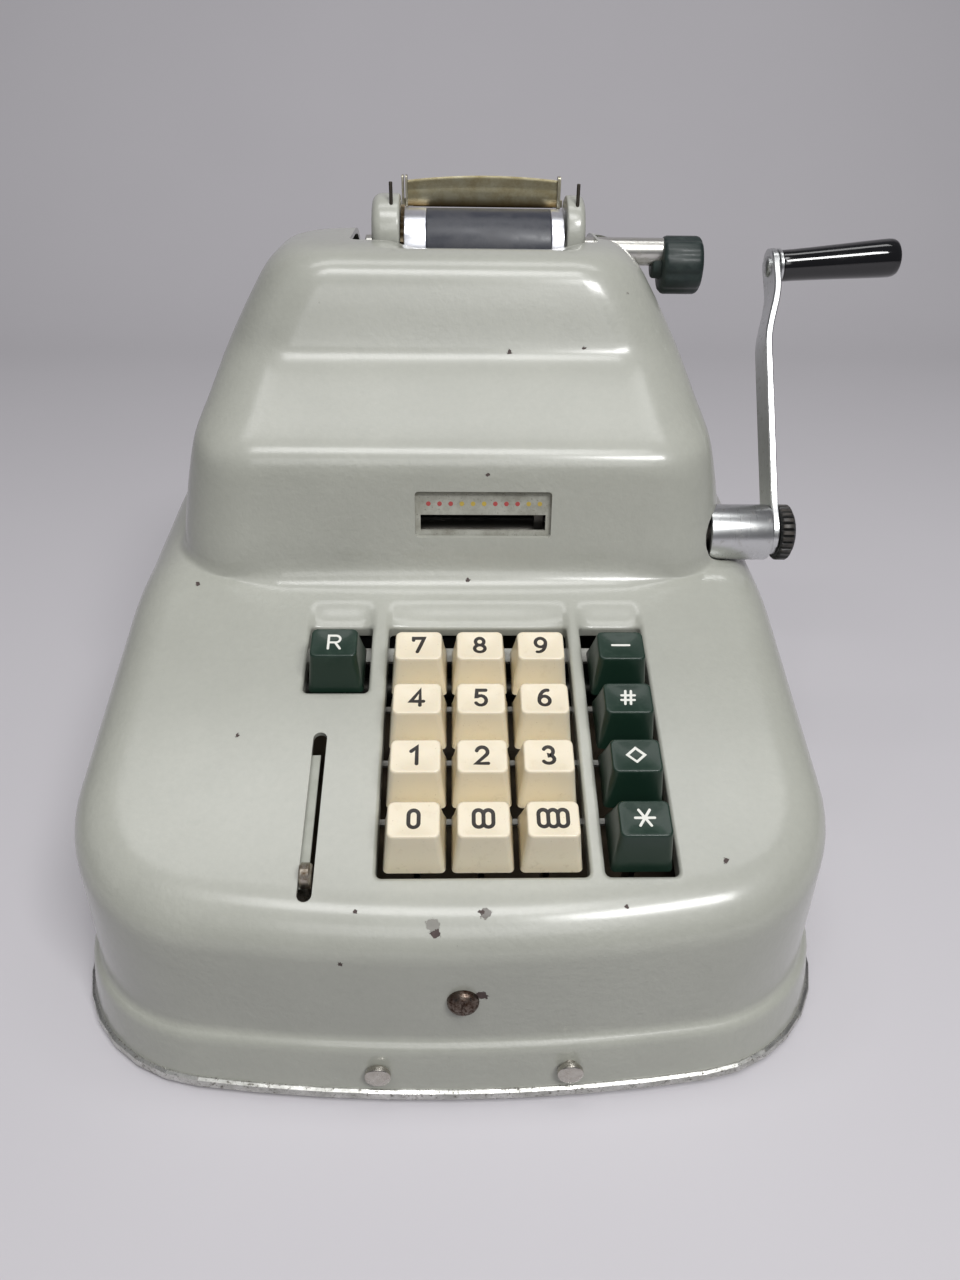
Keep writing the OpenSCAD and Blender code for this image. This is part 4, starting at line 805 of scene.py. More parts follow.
# Strokes of each legend from the middle of its sign, in millimetres.
LEGENDS = {
    "key_0": loops(1, 2.6, 2.8),
    "key_00": loops(2, 2.6, 2.7),
    "key_000": loops(3, 2.6, 2.7),
    "key_1": [[(-1.15, 1.35), (0.35, 2.5), (0.35, -2.5)]],
    "key_2": [arc(0, 1.1, 1.45, 1.4, 165, -38) + [(-1.5, -2.45), (1.55, -2.45)]],
    "key_3": [arc(-0.05, 1.22, 1.3, 1.28, 150, -80) + arc(-0.05, -1.2, 1.5, 1.3, 82, -150)],
    "key_4": [[(0.8, -2.5), (0.8, 2.45), (-1.7, -1.1), (1.75, -1.1)]],
    "key_5": [[(1.35, 2.5), (-1.05, 2.5), (-1.25, 0.4)] + arc(-0.05, -0.85, 1.5, 1.62, 128, -150)],
    "key_6": [arc(0.75, -0.9, 2.2, 3.4, 82, 180), arc(0, -0.95, 1.45, 1.52, 180, 540, 24)],
    "key_7": [[(-1.5, 1.75), (-1.5, 2.45), (1.5, 2.45), (-0.35, -2.5)]],
    "key_8": [arc(0, 1.28, 1.2, 1.2, 0, 360, 20), arc(0, -1.2, 1.48, 1.3, 0, 360, 22)],
    "key_9": [arc(-0.75, 0.9, 2.2, 3.4, -98, 0), arc(0, 0.95, 1.45, 1.52, 0, 360, 24)],
    "key_repeat": [
        [(-1.75, -2.6), (-1.75, 2.6), (0.5, 2.6)] + arc(0.5, 1.3, 1.35, 1.3, 80, -90) + [(-1.75, 0)],
        [(0.3, 0), (1.95, -2.6)],
    ],
    "key_minus": [[(-2.7, 0), (2.7, 0)]],
    "key_non_add": [[(-1.1, -2.4), (-0.6, 2.4)], [(0.6, -2.4), (1.1, 2.4)], [(-1.9, 0.85), (2.1, 0.85)],
                    [(-2.1, -0.85), (1.9, -0.85)]],
    "key_subtotal": [[(0, 2.3), (2.55, 0), (0, -2.3), (-2.55, 0), (0, 2.3)]],
    "key_total": [[(-2.7, 0), (2.7, 0)], [(-1.55, 2.4), (1.55, -2.4)], [(1.55, 2.4), (-1.55, -2.4)]],
}
INK, INK_RUBBED, SIGN_WHITE = (0.018, 0.013, 0.009), (0.10, 0.07, 0.04), (0.80, 0.80, 0.74)
ink = Finish("legend_ink", INK)
ink.tone(ink.step(ink.noise(1.3, 4), 0.55, 0.8) * 0.35, INK, INK_RUBBED)
sign_white = Finish("legend_white", SIGN_WHITE, roughness=0.45)
LEGEND_RISE, LEGEND_SINK, LEGEND_BACK, DIGIT_SCALE = 0.035, 0.25, 0.3, 1.1
DIGIT_STROKE, SIGN_STROKE = 0.56, 0.38


def round_end(section, half):
    """Sections that close a stroke with a half circle. A negative half closes its beginning."""
    p, along, across, _ = section
    turns = [math.radians(20 * k) for k in range(1, 5)]
    return [(p + along * half * math.sin(a), along, across, abs(half) * math.cos(a)) for a in turns]


def stroke(mesh, line, half, place, level):
    """Filled-in groove along a line of points: a thin band with round ends, flush with the top."""
    points = [Vector(p) for p in line]
    shut = (points[0] - points[-1]).length < 1e-6
    if shut:
        points = points[:-1]
    n = len(points)
    sections = []
    for k, p in enumerate(points):
        before = points[k - 1] if k or shut else p
        after = points[(k + 1) % n] if k < n - 1 or shut else p
        into, out = p - before, after - p
        into, out = [(one if one.length else other).normalized() for one, other in ((into, out), (out, into))]
        along = (into + out).normalized()
        across = Vector((-along.y, along.x))
        wide = half / max(across.dot(Vector((-out.y, out.x))), 0.5)
        sections.append((p, along, across, wide))
    if not shut:
        sections = round_end(sections[0], -half)[::-1] + sections + round_end(sections[-1], half)
    rings = []
    for p, _, across, wide in sections:
        left, right = p - across * wide, p + across * wide
        ring = []
        for q, h in zip((left, right, right, left), (-LEGEND_SINK, -LEGEND_SINK, LEGEND_RISE, LEGEND_RISE)):
            ring.append(place @ Vector((q.x, q.y, level(q.x, q.y) + h)))
        rings.append(ring)
    lofted(mesh, rings, shut)


DIGIT_KEYS = ["key_0", "key_00", "key_000"] + [f"key_{n}" for n in range(1, 10)]
KEY_SPOTS = {
    name: (KEYS_X + KEY_PITCH * (i % 3 - 1), ROWS[i // 3]) for i, name in enumerate(DIGIT_KEYS)
}
for name, s in zip(("key_total", "key_subtotal", "key_non_add", "key_minus"), ROWS):
    KEY_SPOTS[name] = (FUNCTION_X, s)
KEY_SPOTS["key_repeat"] = (REPEAT_X, REPEAT_S)
for name, (x, s) in KEY_SPOTS.items():
    if name in DIGIT_KEYS:
        plastic, slot, sign, half = ivory, "ivory_plastic", ink, DIGIT_STROKE
    else:
        plastic, slot, sign, half = green, "green_plastic", sign_white, SIGN_STROKE
    piece(key_cap(x, s), name.replace("key", "cap"), plastic, name, [name], crease=50)
    stem = bmesh.new()
    prism(stem, rounded(x, s, STEM_W, STEM_D, 0.3, 2), DECK_PLACE, -STEM_L, CAP_LOW + STEM_IN_CAP)
    piece(stem, name.replace("key", "stem"), stem_steel, name, [name])
    legend = bmesh.new()
    middle = DECK_PLACE @ Matrix.Translation((x, s + LEGEND_BACK, 0))
    grown = DIGIT_SCALE if name in DIGIT_KEYS and "0" not in name else 1
    for line in LEGENDS[name]:
        line = [(u * grown, v * grown) for u, v in line]
        stroke(legend, line, half, middle, lambda u, v: cap_height(u, v + LEGEND_BACK))
    piece(legend, name.replace("key", "legend"), sign, name, loose=1e-6)


def dress(finish, *names):
    """Gives CAD nodes whose shape is right their finish."""
    for name in names:
        for slot in nodes[name].material_slots:
            slot.material = finish.material


def across(x, y, z):
    """Place of a turned part whose axis runs along X, starting at x."""
    return Matrix.Translation((x, y, z)) @ SIDE_PLACE


def spun(mesh, profile, place, steps=56, closed=False):
    """Turned body from its profile of distances along the axis with the radius at each."""
    lofted(mesh, [[place @ Vector((*p, h)) for p in disc(0, 0, r, steps)] for h, r in profile], closed)


def barrel(length, radius, soft, start=0.0, steps=4):
    """Profile of a plain cylinder with rounded edges."""
    turns = [math.pi / 2 * k / steps for k in range(steps + 1)]
    low = [(start + soft * (1 - math.cos(a)), radius - soft * (1 - math.sin(a))) for a in turns]
    high = [(start + length - soft * (1 - math.sin(a)), radius - soft * (1 - math.cos(a))) for a in turns]
    return low + high


def shrunk(outline, d):
    """Outline with every point moved in by d. The points run anticlockwise."""
    moved = []
    for k, p in enumerate(outline):
        into = (Vector(p) - Vector(outline[k - 1])).normalized()
        out = (Vector(outline[(k + 1) % len(outline)]) - Vector(p)).normalized()
        along = (into + out).normalized()
        inward = Vector((-along.y, along.x))
        moved.append(Vector(p) + inward * (d / max(inward.dot(Vector((-out.y, out.x))), 0.5)))
    return moved


def oblong(x0, x1, y0, y1):
    return [(x0, y0), (x1, y0), (x1, y1), (x0, y1)]


def slab(mesh, outline, place, low, high, soft=0.3):
    """Flat plate with softened edges."""
    rings = [(low, soft), (low + soft, 0), (high - soft, 0), (high, soft)]
    lofted(mesh, [[place @ Vector((p[0], p[1], h)) for p in shrunk(outline, d)] for h, d in rings])


# Key guides: pressed bars in pale grey paint between the key rows, with dark plated sheet
# and the blued return springs below them. They reach from one side frame to the other.
FLANGE = oblong(-48, 66, -53.3, -48.8)
FLANGE_LOW, FLANGE_HIGH = -8.95, -7.85
BAR_GREY, BAR_DUST = (0.36, 0.36, 0.33), (0.12, 0.10, 0.075)
bar_paint = Finish("bar_paint", BAR_GREY)
bar_paint.tone(bar_paint.step(bar_paint.noise(6, 5, 0.7), 0.42, 0.7) * 0.7, BAR_GREY, BAR_DUST)
dress(bar_paint, "key_guide_bars")
flange_mesh = bmesh.new()
slab(flange_mesh, FLANGE, DECK_PLACE, FLANGE_LOW, FLANGE_HIGH, 0.2)
piece(flange_mesh, "guide_flange", bar_paint, "chassis")
dark_plate = Finish("dark_plate", (0.085, 0.062, 0.035), metallic=0.2)
dark_plate.gloss(0.5, 0.25, 8)
dress(dark_plate, "key_guide_plate")
blued = Finish("blued_spring", (0.03, 0.032, 0.04), metallic=1.0)
blued.gloss(0.32, 0.2, 4, 3)
dress(blued, "key_spring_comb")

# Correction lever: a bent steel blade whose worn bright tip stands out of the slot, on a
# narrow neck that slides beside the pale guide strip under the slot's left half.
LEVER_S, LEVER_TOP, LEVER_FOOT = -135.5, 4.2, -12.0
NECK_LOW, NECK_HIGH = SLOT_X + 0.55, SLOT_X + 1.6
NECK_TOP, TIP_HALF, SHOE_LOW, SHOE_HALF = -1, 1.6, -17, 4
STRIP_LOW, STRIP_HIGH, STRIP_H, STRIP_T = SLOT_X - 4.6, SLOT_X + 0.3, -2.6, 0.8
STRIP_FRONT, STRIP_BACK = SLOT_FRONT + 5, SLOT_BACK - 6.5
# Drawn in Y and Z, with the thickness along X
UPRIGHT = Matrix(((0, 0, 1, 0), (1, 0, 0, 0), (0, 1, 0, 0), (0, 0, 0, 1)))
lever_steel = Finish("lever_steel", (0.46, 0.42, 0.36), metallic=1.0)
tarnish = lever_steel.step(lever_steel.noise(1.6, 5, 0.7), 0.42, 0.66)
lever_steel.tone(tarnish, (0.46, 0.42, 0.36), (0.15, 0.105, 0.065))
lever_steel.feed("Roughness", 0.3 + tarnish * 0.35)
lever_steel.feed("Normal", lever_steel.relief(lever_steel.noise(0.8, 3), 0.03, 0.6))
lever_mesh = bmesh.new()
tip = [(-3.5, -1.5), (3.5, -1.5), (3.5, 0.6), (2.6, 2.6), (1.2, 3.9), (-0.2, LEVER_TOP), (-1.6, 3.6),
       (-2.8, 2.0), (-3.4, 0.2)]
for outline, low, high, soft in (
    (oblong(-3.3, 3.5, LEVER_FOOT, NECK_TOP), NECK_LOW, NECK_HIGH, 0.15),
    (tip, SLOT_X - TIP_HALF, SLOT_X + TIP_HALF, 0.5),
    (oblong(-5, 5, SHOE_LOW, LEVER_FOOT), SLOT_X - SHOE_HALF, SLOT_X + SHOE_HALF, 0.3),
):
    slab(lever_mesh, [(LEVER_S + s, h) for s, h in outline], DECK_PLACE @ UPRIGHT, low, high, soft)
piece(lever_mesh, "lever_blade", lever_steel, "correction_lever", ["correction_lever"],
      loose=1e-6)
strip_paint = Finish("strip_paint", (0.40, 0.41, 0.36))
strip_paint.tone(strip_paint.noise(5, 4), (0.30, 0.31, 0.26), (0.46, 0.47, 0.42))
strip_mesh = bmesh.new()
strip = oblong(STRIP_LOW, STRIP_HIGH, STRIP_FRONT, STRIP_BACK)
slab(strip_mesh, strip, DECK_PLACE, STRIP_H - STRIP_T, STRIP_H, 0.15)
piece(strip_mesh, "slot_strip", strip_paint, "chassis")

# Indicator: painted steel plate behind the sight window, soiled in patches, with a
# row of printed red and yellow dots above the slot in which the carriage's pointer runs.
PLATE_Y, PLATE_LEAN = -17.9, 7
DOT_PITCH, DOTS_X, DOTS_H, DOT_R = 3.81, -18.75, 3.1, 0.8
DOT_COLOURS = {"R": ("red", (0.50, 0.03, 0.05)), "Y": ("yellow", (0.62, 0.45, 0.06))}
plate_paint = Finish("indicator_paint", (0.42, 0.42, 0.36), roughness=0.55)
soil = plate_paint.step(plate_paint.noise(9, 6, 0.72), 0.40, 0.72)
fleck = plate_paint.step(plate_paint.noise(0.8, 3), 0.62, 0.7)
plate_tone = plate_paint.mix(soil * 0.75, (0.44, 0.44, 0.39), (0.17, 0.16, 0.12))
plate_paint.tone(fleck * 0.5, plate_tone, (0.09, 0.08, 0.06))
dress(plate_paint, "indicator_plate")
PLATE_PLACE = (
    Matrix.Translation((WINDOW_X, PLATE_Y, WINDOW_Z)) @ Matrix.Rotation(math.radians(90 - PLATE_LEAN), 4, "X")
)
for letter, (name, colour) in DOT_COLOURS.items():
    dot_paint = Finish(f"dot_{name}", colour)
    dot_paint.tone(dot_paint.noise(1, 3) * 0.5, colour, (0.25, 0.2, 0.14))
    dot_mesh = bmesh.new()
    for k, own in enumerate("RRRYYYRRRYY"):
        if own == letter:
            prism(dot_mesh, disc(DOTS_X + DOT_PITCH * k, DOTS_H, DOT_R, 20), PLATE_PLACE, -0.2, 0.06)
    piece(dot_mesh, f"dots_{name}", dot_paint, "chassis", loose=1e-6)

# Edging: a rolled aluminium strip clipped round the foot of the skirt, where hands and the
# table have dulled and pitted it.
trim_metal = Finish("trim_metal", (0.66, 0.66, 0.63), metallic=1.0)
dull = trim_metal.step(trim_metal.noise(7, 6, 0.72), 0.40, 0.62)
pits = trim_metal.step(trim_metal.noise(1.1, 4, 0.7), 0.55, 0.66)
trim_tone = trim_metal.mix(dull * 0.55, (0.66, 0.66, 0.63), (0.30, 0.30, 0.27))
trim_metal.tone(pits * 0.7, trim_tone, (0.09, 0.075, 0.055))
trim_metal.feed("Roughness", 0.26 + dull * 0.22 + pits * 0.3)
trim_metal.feed("Normal", trim_metal.relief(trim_metal.noise(2.2, 4), 0.05, 0.6))
dress(trim_metal, "base_trim")

# Skirt studs: two domed studs in dull nickel, pressed into the skirt. Each is turned in one
# piece, with a neck that goes through the sheet.
nickel = Finish("stud_nickel", (0.60, 0.57, 0.51), metallic=1.0)
nickel.tone(nickel.noise(2.4, 5, 0.7), (0.70, 0.68, 0.64), (0.30, 0.27, 0.22))
nickel.gloss(0.16, 0.2, 1.6)
STUD_R, STUD_OUT, STUD_SPOTS = 3.75, 6.2, ((-21.8, 12.0), (33.4, 12.4))
dome = [(0.75 - 0.72 * math.cos(a), STUD_R * math.sin(a)) for a in (0.12, 0.35, 0.6, 0.85, 1.1, 1.35, 1.5)]
stud_shape = dome + [(1.3, STUD_R), (1.9, STUD_R), (2.5, STUD_R - 0.35), (2.6, 2.1), (5.5, 2.1)]
for k, (x, z) in enumerate(STUD_SPOTS):
    stud_mesh = bmesh.new()
    stud_place = Matrix.Translation((x, -HALF_D - STUD_OUT, z)) @ Matrix.Rotation(-math.pi / 2, 4, "X")
    spun(stud_mesh, stud_shape, stud_place, 40)
    piece(stud_mesh, f"stud_{k + 1}", nickel, "chassis", ["skirt_studs"])

# Locking screw: a dark dome-headed screw with rusty patches in the middle of the front wall.
# It holds the cover on the base.
lock_steel = Finish("lock_steel", (0.15, 0.12, 0.10), metallic=1.0)
rust = lock_steel.step(lock_steel.noise(1.5, 5, 0.7), 0.42, 0.62)
lock_steel.tone(rust, (0.15, 0.12, 0.10), (0.045, 0.022, 0.014))
lock_steel.feed("Roughness", 0.26 + rust * 0.4)
lock_steel.feed("Normal", lock_steel.relief(lock_steel.noise(0.9, 3), 0.05, 0.7))
dress(lock_steel, "cover_lock_screw")

# Base: the pressed pan in dull black lacquer that closes the case from below. It stands on
# four moulded rubber feet that are screwed to it.
pan_paint = Finish("pan_lacquer", (0.02, 0.02, 0.02))
pan_paint.gloss(0.4, 0.25, 20)
dress(pan_paint, "base_pan")
foot_rubber = Finish("foot_rubber", (0.018, 0.018, 0.018))
foot_rubber.gloss(0.65, 0.25, 3, 3)
dress(foot_rubber, "rubber_feet")

# Mechanism: carriage, type bars, accumulator and shafts in oiled, blackened steel. They are
# what the gaps between the keys, the sight window and the cut-out at the top let one see.
oiled = Finish("oiled_steel", (0.16, 0.155, 0.145), metallic=1.0)
film = oiled.noise(9, 5, 0.65)
oiled.tone(film, (0.20, 0.195, 0.18), (0.09, 0.08, 0.065))
oiled.feed("Roughness", 0.3 + film * 0.3)
dress(oiled, "pin_carriage", "carriage_rails", "type_bars", "accumulator_wheels")
dress(oiled, "main_shaft", "cam_shaft", "cam_gear")

# Frames: side frames, type bar guide and paper roll holder of dark plated sheet, tied by
# turned rods and held by zinc plated screws.
sheet_steel = Finish("frame_sheet", (0.12, 0.12, 0.115), metallic=0.9)
sheet_steel.tone(sheet_steel.noise(14, 5), (0.15, 0.15, 0.14), (0.07, 0.065, 0.055))
dress(sheet_steel, "side_frame_left", "side_frame_right", "frame_tie_rods")
dress(sheet_steel, "type_bar_guide", "paper_roll_holder")
zinc = Finish("zinc_screws", (0.40, 0.40, 0.38), metallic=1.0)
zinc.gloss(0.32, 0.2, 2, 3)
dress(zinc, "chassis_screws")

# Drive gear and bushes: cut and turned from brass. The gear is fixed on the main shaft, and
# the bushes sit in the side frames.
brass = Finish("brass", (0.48, 0.34, 0.13), metallic=1.0, roughness=0.36)
brass.tone(brass.noise(5, 5), (0.56, 0.41, 0.17), (0.26, 0.17, 0.07))
dress(brass, "drive_gear", "main_bushes")

# Ribbon: inked cloth that runs in front of the platen, between two black steel spools on
# upright pins.
spool_steel = Finish("spool_steel", (0.05, 0.05, 0.05), metallic=0.7)
spool_steel.gloss(0.34, 0.15, 6, 3)
dress(spool_steel, "ribbon_spool_left", "ribbon_spool_right")
inked = Finish("inked_ribbon", (0.02, 0.018, 0.025), roughness=0.85)
weave = inked.node("ShaderNodeTexWave", {"bands_direction": "X"}, {"Vector": inked.place(), "Scale": 900.0})
inked.feed("Normal", inked.relief(weave, 0.03, 0.6))
dress(inked, "ribbon")

# Crank hub and arm: a turned boss on the end of the main shaft, and a flat steel arm bent
# outwards below its upper eye, both in satin nickel.
HUB_END, HUB_L, HUB_R, HUB_BORE, ARM_T, ARM_L, ARM_SET = 113.6, 22.6, 10.0, 5.2, 2.6, 101.0, 4.2
ARM_LEAN, GRIP_TILT = math.radians(36.5), math.radians(5)
ARM_BEND, ARM_BENT = ARM_L - 32, ARM_L - 8
satin = Finish("crank_nickel", (0.62, 0.63, 0.63), metallic=1.0)
turning = satin.grain(4200, 60, 60)
spots = satin.step(satin.noise(2.6, 6, 0.75), 0.56, 0.72)
satin.tone(spots * 0.6, (0.62, 0.63, 0.63), (0.26, 0.24, 0.20))
satin.feed("Roughness", 0.24 + turning * 0.1 + spots * 0.2)
satin.feed("Normal", satin.relief(turning, 0.01, 0.5))
hub_mesh = bmesh.new()
hub_shape = [(0, HUB_BORE), (0, HUB_R - 0.5), (0.5, HUB_R), (HUB_L - 0.9, HUB_R), (HUB_L - 0.3, HUB_R - 0.25),
             (HUB_L, HUB_R - 0.8), (HUB_L, HUB_BORE)]
spun(hub_mesh, hub_shape, across(HUB_END - HUB_L, CRANK_Y, CRANK_Z), 72, closed=True)
piece(hub_mesh, "hub", satin, "crank", ["crank_hub"])
CRANK_PLACE = Matrix.Translation((0, CRANK_Y, CRANK_Z)) @ Matrix.Rotation(-ARM_LEAN, 4, "X")
GRIP_PLACE = CRANK_PLACE @ Matrix.Translation((HUB_END + ARM_SET, 0, ARM_L))
GRIP_PLACE = GRIP_PLACE @ Matrix.Rotation(-GRIP_TILT, 4, "Y") @ SIDE_PLACE
EYE_LOW, EYE_HIGH, EYE_STEPS, ARM_EDGE = 8.0, 6.5, 12, 0.45


def arm_half_width(up):
    if up < 0:
        return math.sqrt(max(EYE_LOW**2 - up**2, 0))
    if up > ARM_L:
        return math.sqrt(max(EYE_HIGH**2 - (up - ARM_L) ** 2, 0))
    return EYE_LOW + (EYE_HIGH - EYE_LOW) * ease(up, 0, 12)


def arm_offset(up):
    lean = math.tan(GRIP_TILT) * max(up - ARM_BENT, 0) * -0.5
    return HUB_END + ARM_SET * ease(up, ARM_BEND, ARM_BENT) + lean


arm_mesh = bmesh.new()
round_eye = [math.pi / 2 * k / EYE_STEPS for k in range(1, EYE_STEPS)]
ups = [-EYE_LOW * math.cos(a) for a in round_eye] + [0, 3, 6, 9, 12] + list(range(20, 64, 8))
ups += list(range(64, 100, 2)) + [ARM_L] + [ARM_L + EYE_HIGH * math.sin(a) for a in round_eye]
arm_rings = []
for up in ups:
    half, low = arm_half_width(up), arm_offset(up)
    high = low + ARM_T
    flat = half - ARM_EDGE
    section = [(low, -flat), (low + ARM_EDGE, -half), (high - ARM_EDGE, -half), (high, -flat), (high, flat),
               (high - ARM_EDGE, half), (low + ARM_EDGE, half), (low, flat)]
    arm_rings.append([CRANK_PLACE @ Vector((x, y, up)) for x, y in section])
lofted(arm_mesh, arm_rings)
piece(arm_mesh, "arm", satin, "crank", ["crank_arm"], crease=28)

# Grip: a black, polished handle that turns freely on a steel spindle. The spindle is riveted
# into the arm's eye and has a bright collar in front of the grip.
SPINDLE_R, SPINDLE_L, RIVET_R, FERRULE_T, FERRULE_R, PLAY = 2.5, 32.2, 3.7, 1.5, 6.2, 0.15
rivet_mesh = bmesh.new()
head_low = -1.2 - 4.5 * math.sin(GRIP_TILT)
rivet = [(head_low - 0.2, 0.8), (head_low - 0.1, 2.0), (head_low + 0.2, 3.1), (head_low + 0.7, RIVET_R),
         (0.3, RIVET_R), (0.3, SPINDLE_R)]
ferrule = [(0.2, SPINDLE_R), (0.2, FERRULE_R - 0.3), (0.5, FERRULE_R), (1.2, FERRULE_R),
           (FERRULE_T, FERRULE_R - 0.3), (FERRULE_T, SPINDLE_R), (FERRULE_T + SPINDLE_L, SPINDLE_R)]
spun(rivet_mesh, rivet + [(ARM_T + h, r) for h, r in ferrule], GRIP_PLACE, 48)
piece(rivet_mesh, "spindle", satin, "crank", ["grip_spindle"])
grip_black = Finish("grip_black", (0.004, 0.004, 0.005), coat=0.5, coat_roughness=0.04)
grip_black.feed("Roughness", 0.07 + grip_black.step(grip_black.noise(7, 5), 0.45, 0.8) * 0.16)
grip_mesh = bmesh.new()
GRIP_START = ARM_T + FERRULE_T + PLAY
GRIP_SHAPE = [
    (0, 2.6), (0, 5.0), (0.25, 5.45), (0.9, 5.6), (4, 5.62), (12, 5.85), (22, 6.2), (32, 6.6), (38, 6.82),
    (41.2, 6.88), (42.8, 6.7), (43.7, 6.2), (44.2, 5.4), (44.4, 4.2), (44.5, 1.0),
]
spun(grip_mesh, [(GRIP_START + h, r) for h, r in GRIP_SHAPE], GRIP_PLACE, 64)
piece(grip_mesh, "grip", grip_black, "crank_grip", ["crank_grip"], crease=40)

# Crank nut: a black knurled cap nut that clamps the arm against the boss. Its ribs are
# rubbed bare at their outer edge.
NUT_R, NUT_RIBS = 10.0, 26
# Profile of the nut: distance from the arm, change of radius, and depth of the knurl there.
NUT_SHAPE = [(0.05, -0.9, 0), (0.4, -0.3, 0.4), (0.9, 0, 1), (4.1, 0, 1), (4.5, -0.3, 0.6), (4.8, -0.9, 0),
             (5.6, -2.2, 0), (6.3, -4.2, 0), (6.7, -7.0, 0), (6.8, -9.2, 0)]


def ribbed(mesh, shape, place, radius, ribs, steps, groove):
    """Turned body with grooves along it. Groove gives their depth from a wave round the body."""
    rings = []
    for h, more, deep in shape:
        ring = []
        for k in range(ribs * steps):
            depth = deep * groove(math.cos(2 * math.pi * k / steps))
            spot = turned(0, 0, radius + more - depth, 2 * math.pi * k / (ribs * steps))
            ring.append(place @ Vector((*spot, h)))
        rings.append(ring)
    lofted(mesh, rings)


nut_mesh = bmesh.new()
nut_place = CRANK_PLACE @ Matrix.Translation((HUB_END + ARM_T, 0, 0)) @ SIDE_PLACE
ribbed(nut_mesh, NUT_SHAPE, nut_place, NUT_R, NUT_RIBS, 8, lambda wave: max(0, wave) ** 2)
NUT_BLACK, NUT_RUBBED, NUT_EDGE = (0.012, 0.012, 0.012), (0.075, 0.065, 0.055), (0.00955, 0.0100)
nut_black = Finish("nut_black", NUT_BLACK)
seen_along = nut_black.node(
    "ShaderNodeVectorMath", {"operation": "MULTIPLY"}, {0: nut_black.place(), 1: (0, 1, 1)}
)
from_axle = nut_black.away_from(seen_along, (0, CRANK_Y / 1000, CRANK_Z / 1000))
worn = nut_black.step(from_axle, *NUT_EDGE) * nut_black.step(nut_black.noise(3, 4), 0.35, 0.6)
nut_black.tone(worn * 0.8, NUT_BLACK, NUT_RUBBED)
nut_black.gloss(0.36, 0.2, 2)
piece(nut_mesh, "nut", nut_black, "crank", ["crank_nut"], crease=50)

# Platen: a ground rubber sleeve between two polished aluminium rings, which are fixed on the
# shaft. A smaller roller of the same rubber presses the paper against it from below.
UNIT_X, PLATEN_R, PLATEN_L, PLATEN_BORE = 12.8, 14.5, 45.9, 11.5
RING_LEFT, RING_RIGHT, SHAFT_R = 8.3, 4.9, 5.0
PLATEN_LEFT, PLATEN_RIGHT = UNIT_X - PLATEN_L / 2, UNIT_X + PLATEN_L / 2
RING_END_LEFT, RING_END_RIGHT = PLATEN_LEFT - RING_LEFT, PLATEN_RIGHT + RING_RIGHT
slate = Finish("platen_rubber", (0.035, 0.038, 0.050))
worn_band = slate.step(slate.noise(7, 5, 0.7), 0.4, 0.7)
slate.tone(worn_band, (0.030, 0.033, 0.045), (0.060, 0.062, 0.072))
slate.feed("Roughness", 0.34 + worn_band * 0.2)
slate.feed("Normal", slate.relief(slate.noise(0.7, 2), 0.02, 0.5))
rubber_mesh = bmesh.new()
sleeve = [(0, PLATEN_BORE)] + barrel(PLATEN_L, PLATEN_R, 0.35) + [(PLATEN_L, PLATEN_BORE)]
spun(rubber_mesh, sleeve, across(PLATEN_LEFT, PLATEN_Y, PLATEN_Z), 96)
piece(rubber_mesh, "platen_sleeve", slate, "platen", ["platen_rubber"])
dress(slate, "pressure_roller")
ring_metal = Finish("ring_metal", (0.72, 0.73, 0.77), metallic=1.0)
stain = ring_metal.step(ring_metal.noise(5.5, 5, 0.7), 0.56, 0.8)
ring_metal.tone(stain * 0.6, (0.72, 0.73, 0.77), (0.42, 0.36, 0.24))
ring_metal.feed("Roughness", 0.24 + ring_metal.grain(3000, 40, 40) * 0.14 + stain * 0.2)
ring_mesh = bmesh.new()
for x, length in ((RING_END_LEFT, RING_LEFT), (PLATEN_RIGHT, RING_RIGHT)):
    ring_shape = [(0, SHAFT_R)] + barrel(length, PLATEN_R, 0.4) + [(length, SHAFT_R)]
    spun(ring_mesh, ring_shape, across(x, PLATEN_Y, PLATEN_Z), 96)
piece(ring_mesh, "platen_rings", ring_metal, "platen", ["platen_shaft"], loose=1e-6)

# Platen shaft: a bright steel shaft, browned in places, that turns in the two cheeks. It
# carries the ratchet wheel at its left end.
CHEEK_LEFT_X, CHEEK_LEFT_T = RING_END_LEFT - 1.4, 10.4
KNOB_X = 79.0
SHAFT_LEFT, SHAFT_RIGHT = CHEEK_LEFT_X - CHEEK_LEFT_T - 3, KNOB_X + 3
shaft_mesh = bmesh.new()
spun(shaft_mesh, barrel(SHAFT_RIGHT - SHAFT_LEFT, SHAFT_R, 0.5), across(SHAFT_LEFT, PLATEN_Y, PLATEN_Z), 48)
shaft_metal = Finish("platen_shaft", (0.66, 0.65, 0.61), metallic=1.0)
browned = shaft_metal.step(shaft_metal.noise(4, 5, 0.7), 0.5, 0.8)
shaft_metal.tone(browned * 0.6, (0.66, 0.65, 0.61), (0.30, 0.25, 0.17))
shaft_metal.feed("Roughness", 0.30 + browned * 0.2)
piece(shaft_mesh, "platen_axle", shaft_metal, "platen", ["platen_shaft"])
ratchet_steel = Finish("ratchet_steel", (0.20, 0.17, 0.11), metallic=1.0, roughness=0.45)
ratchet_steel.tone(ratchet_steel.noise(3, 4), (0.26, 0.22, 0.15), (0.10, 0.07, 0.04))
dress(ratchet_steel, "ratchet_wheel")

# Platen knob: moulded in dark green plastic with nine shallow flutes, on the right end of
# the shaft, where it is scuffed by use.
KNOB_R, KNOB_DROP, KNOB_FLUTES, FLUTE_DEPTH, FLUTE_STEPS = 10.5, 4.7, 9, 0.5, 14
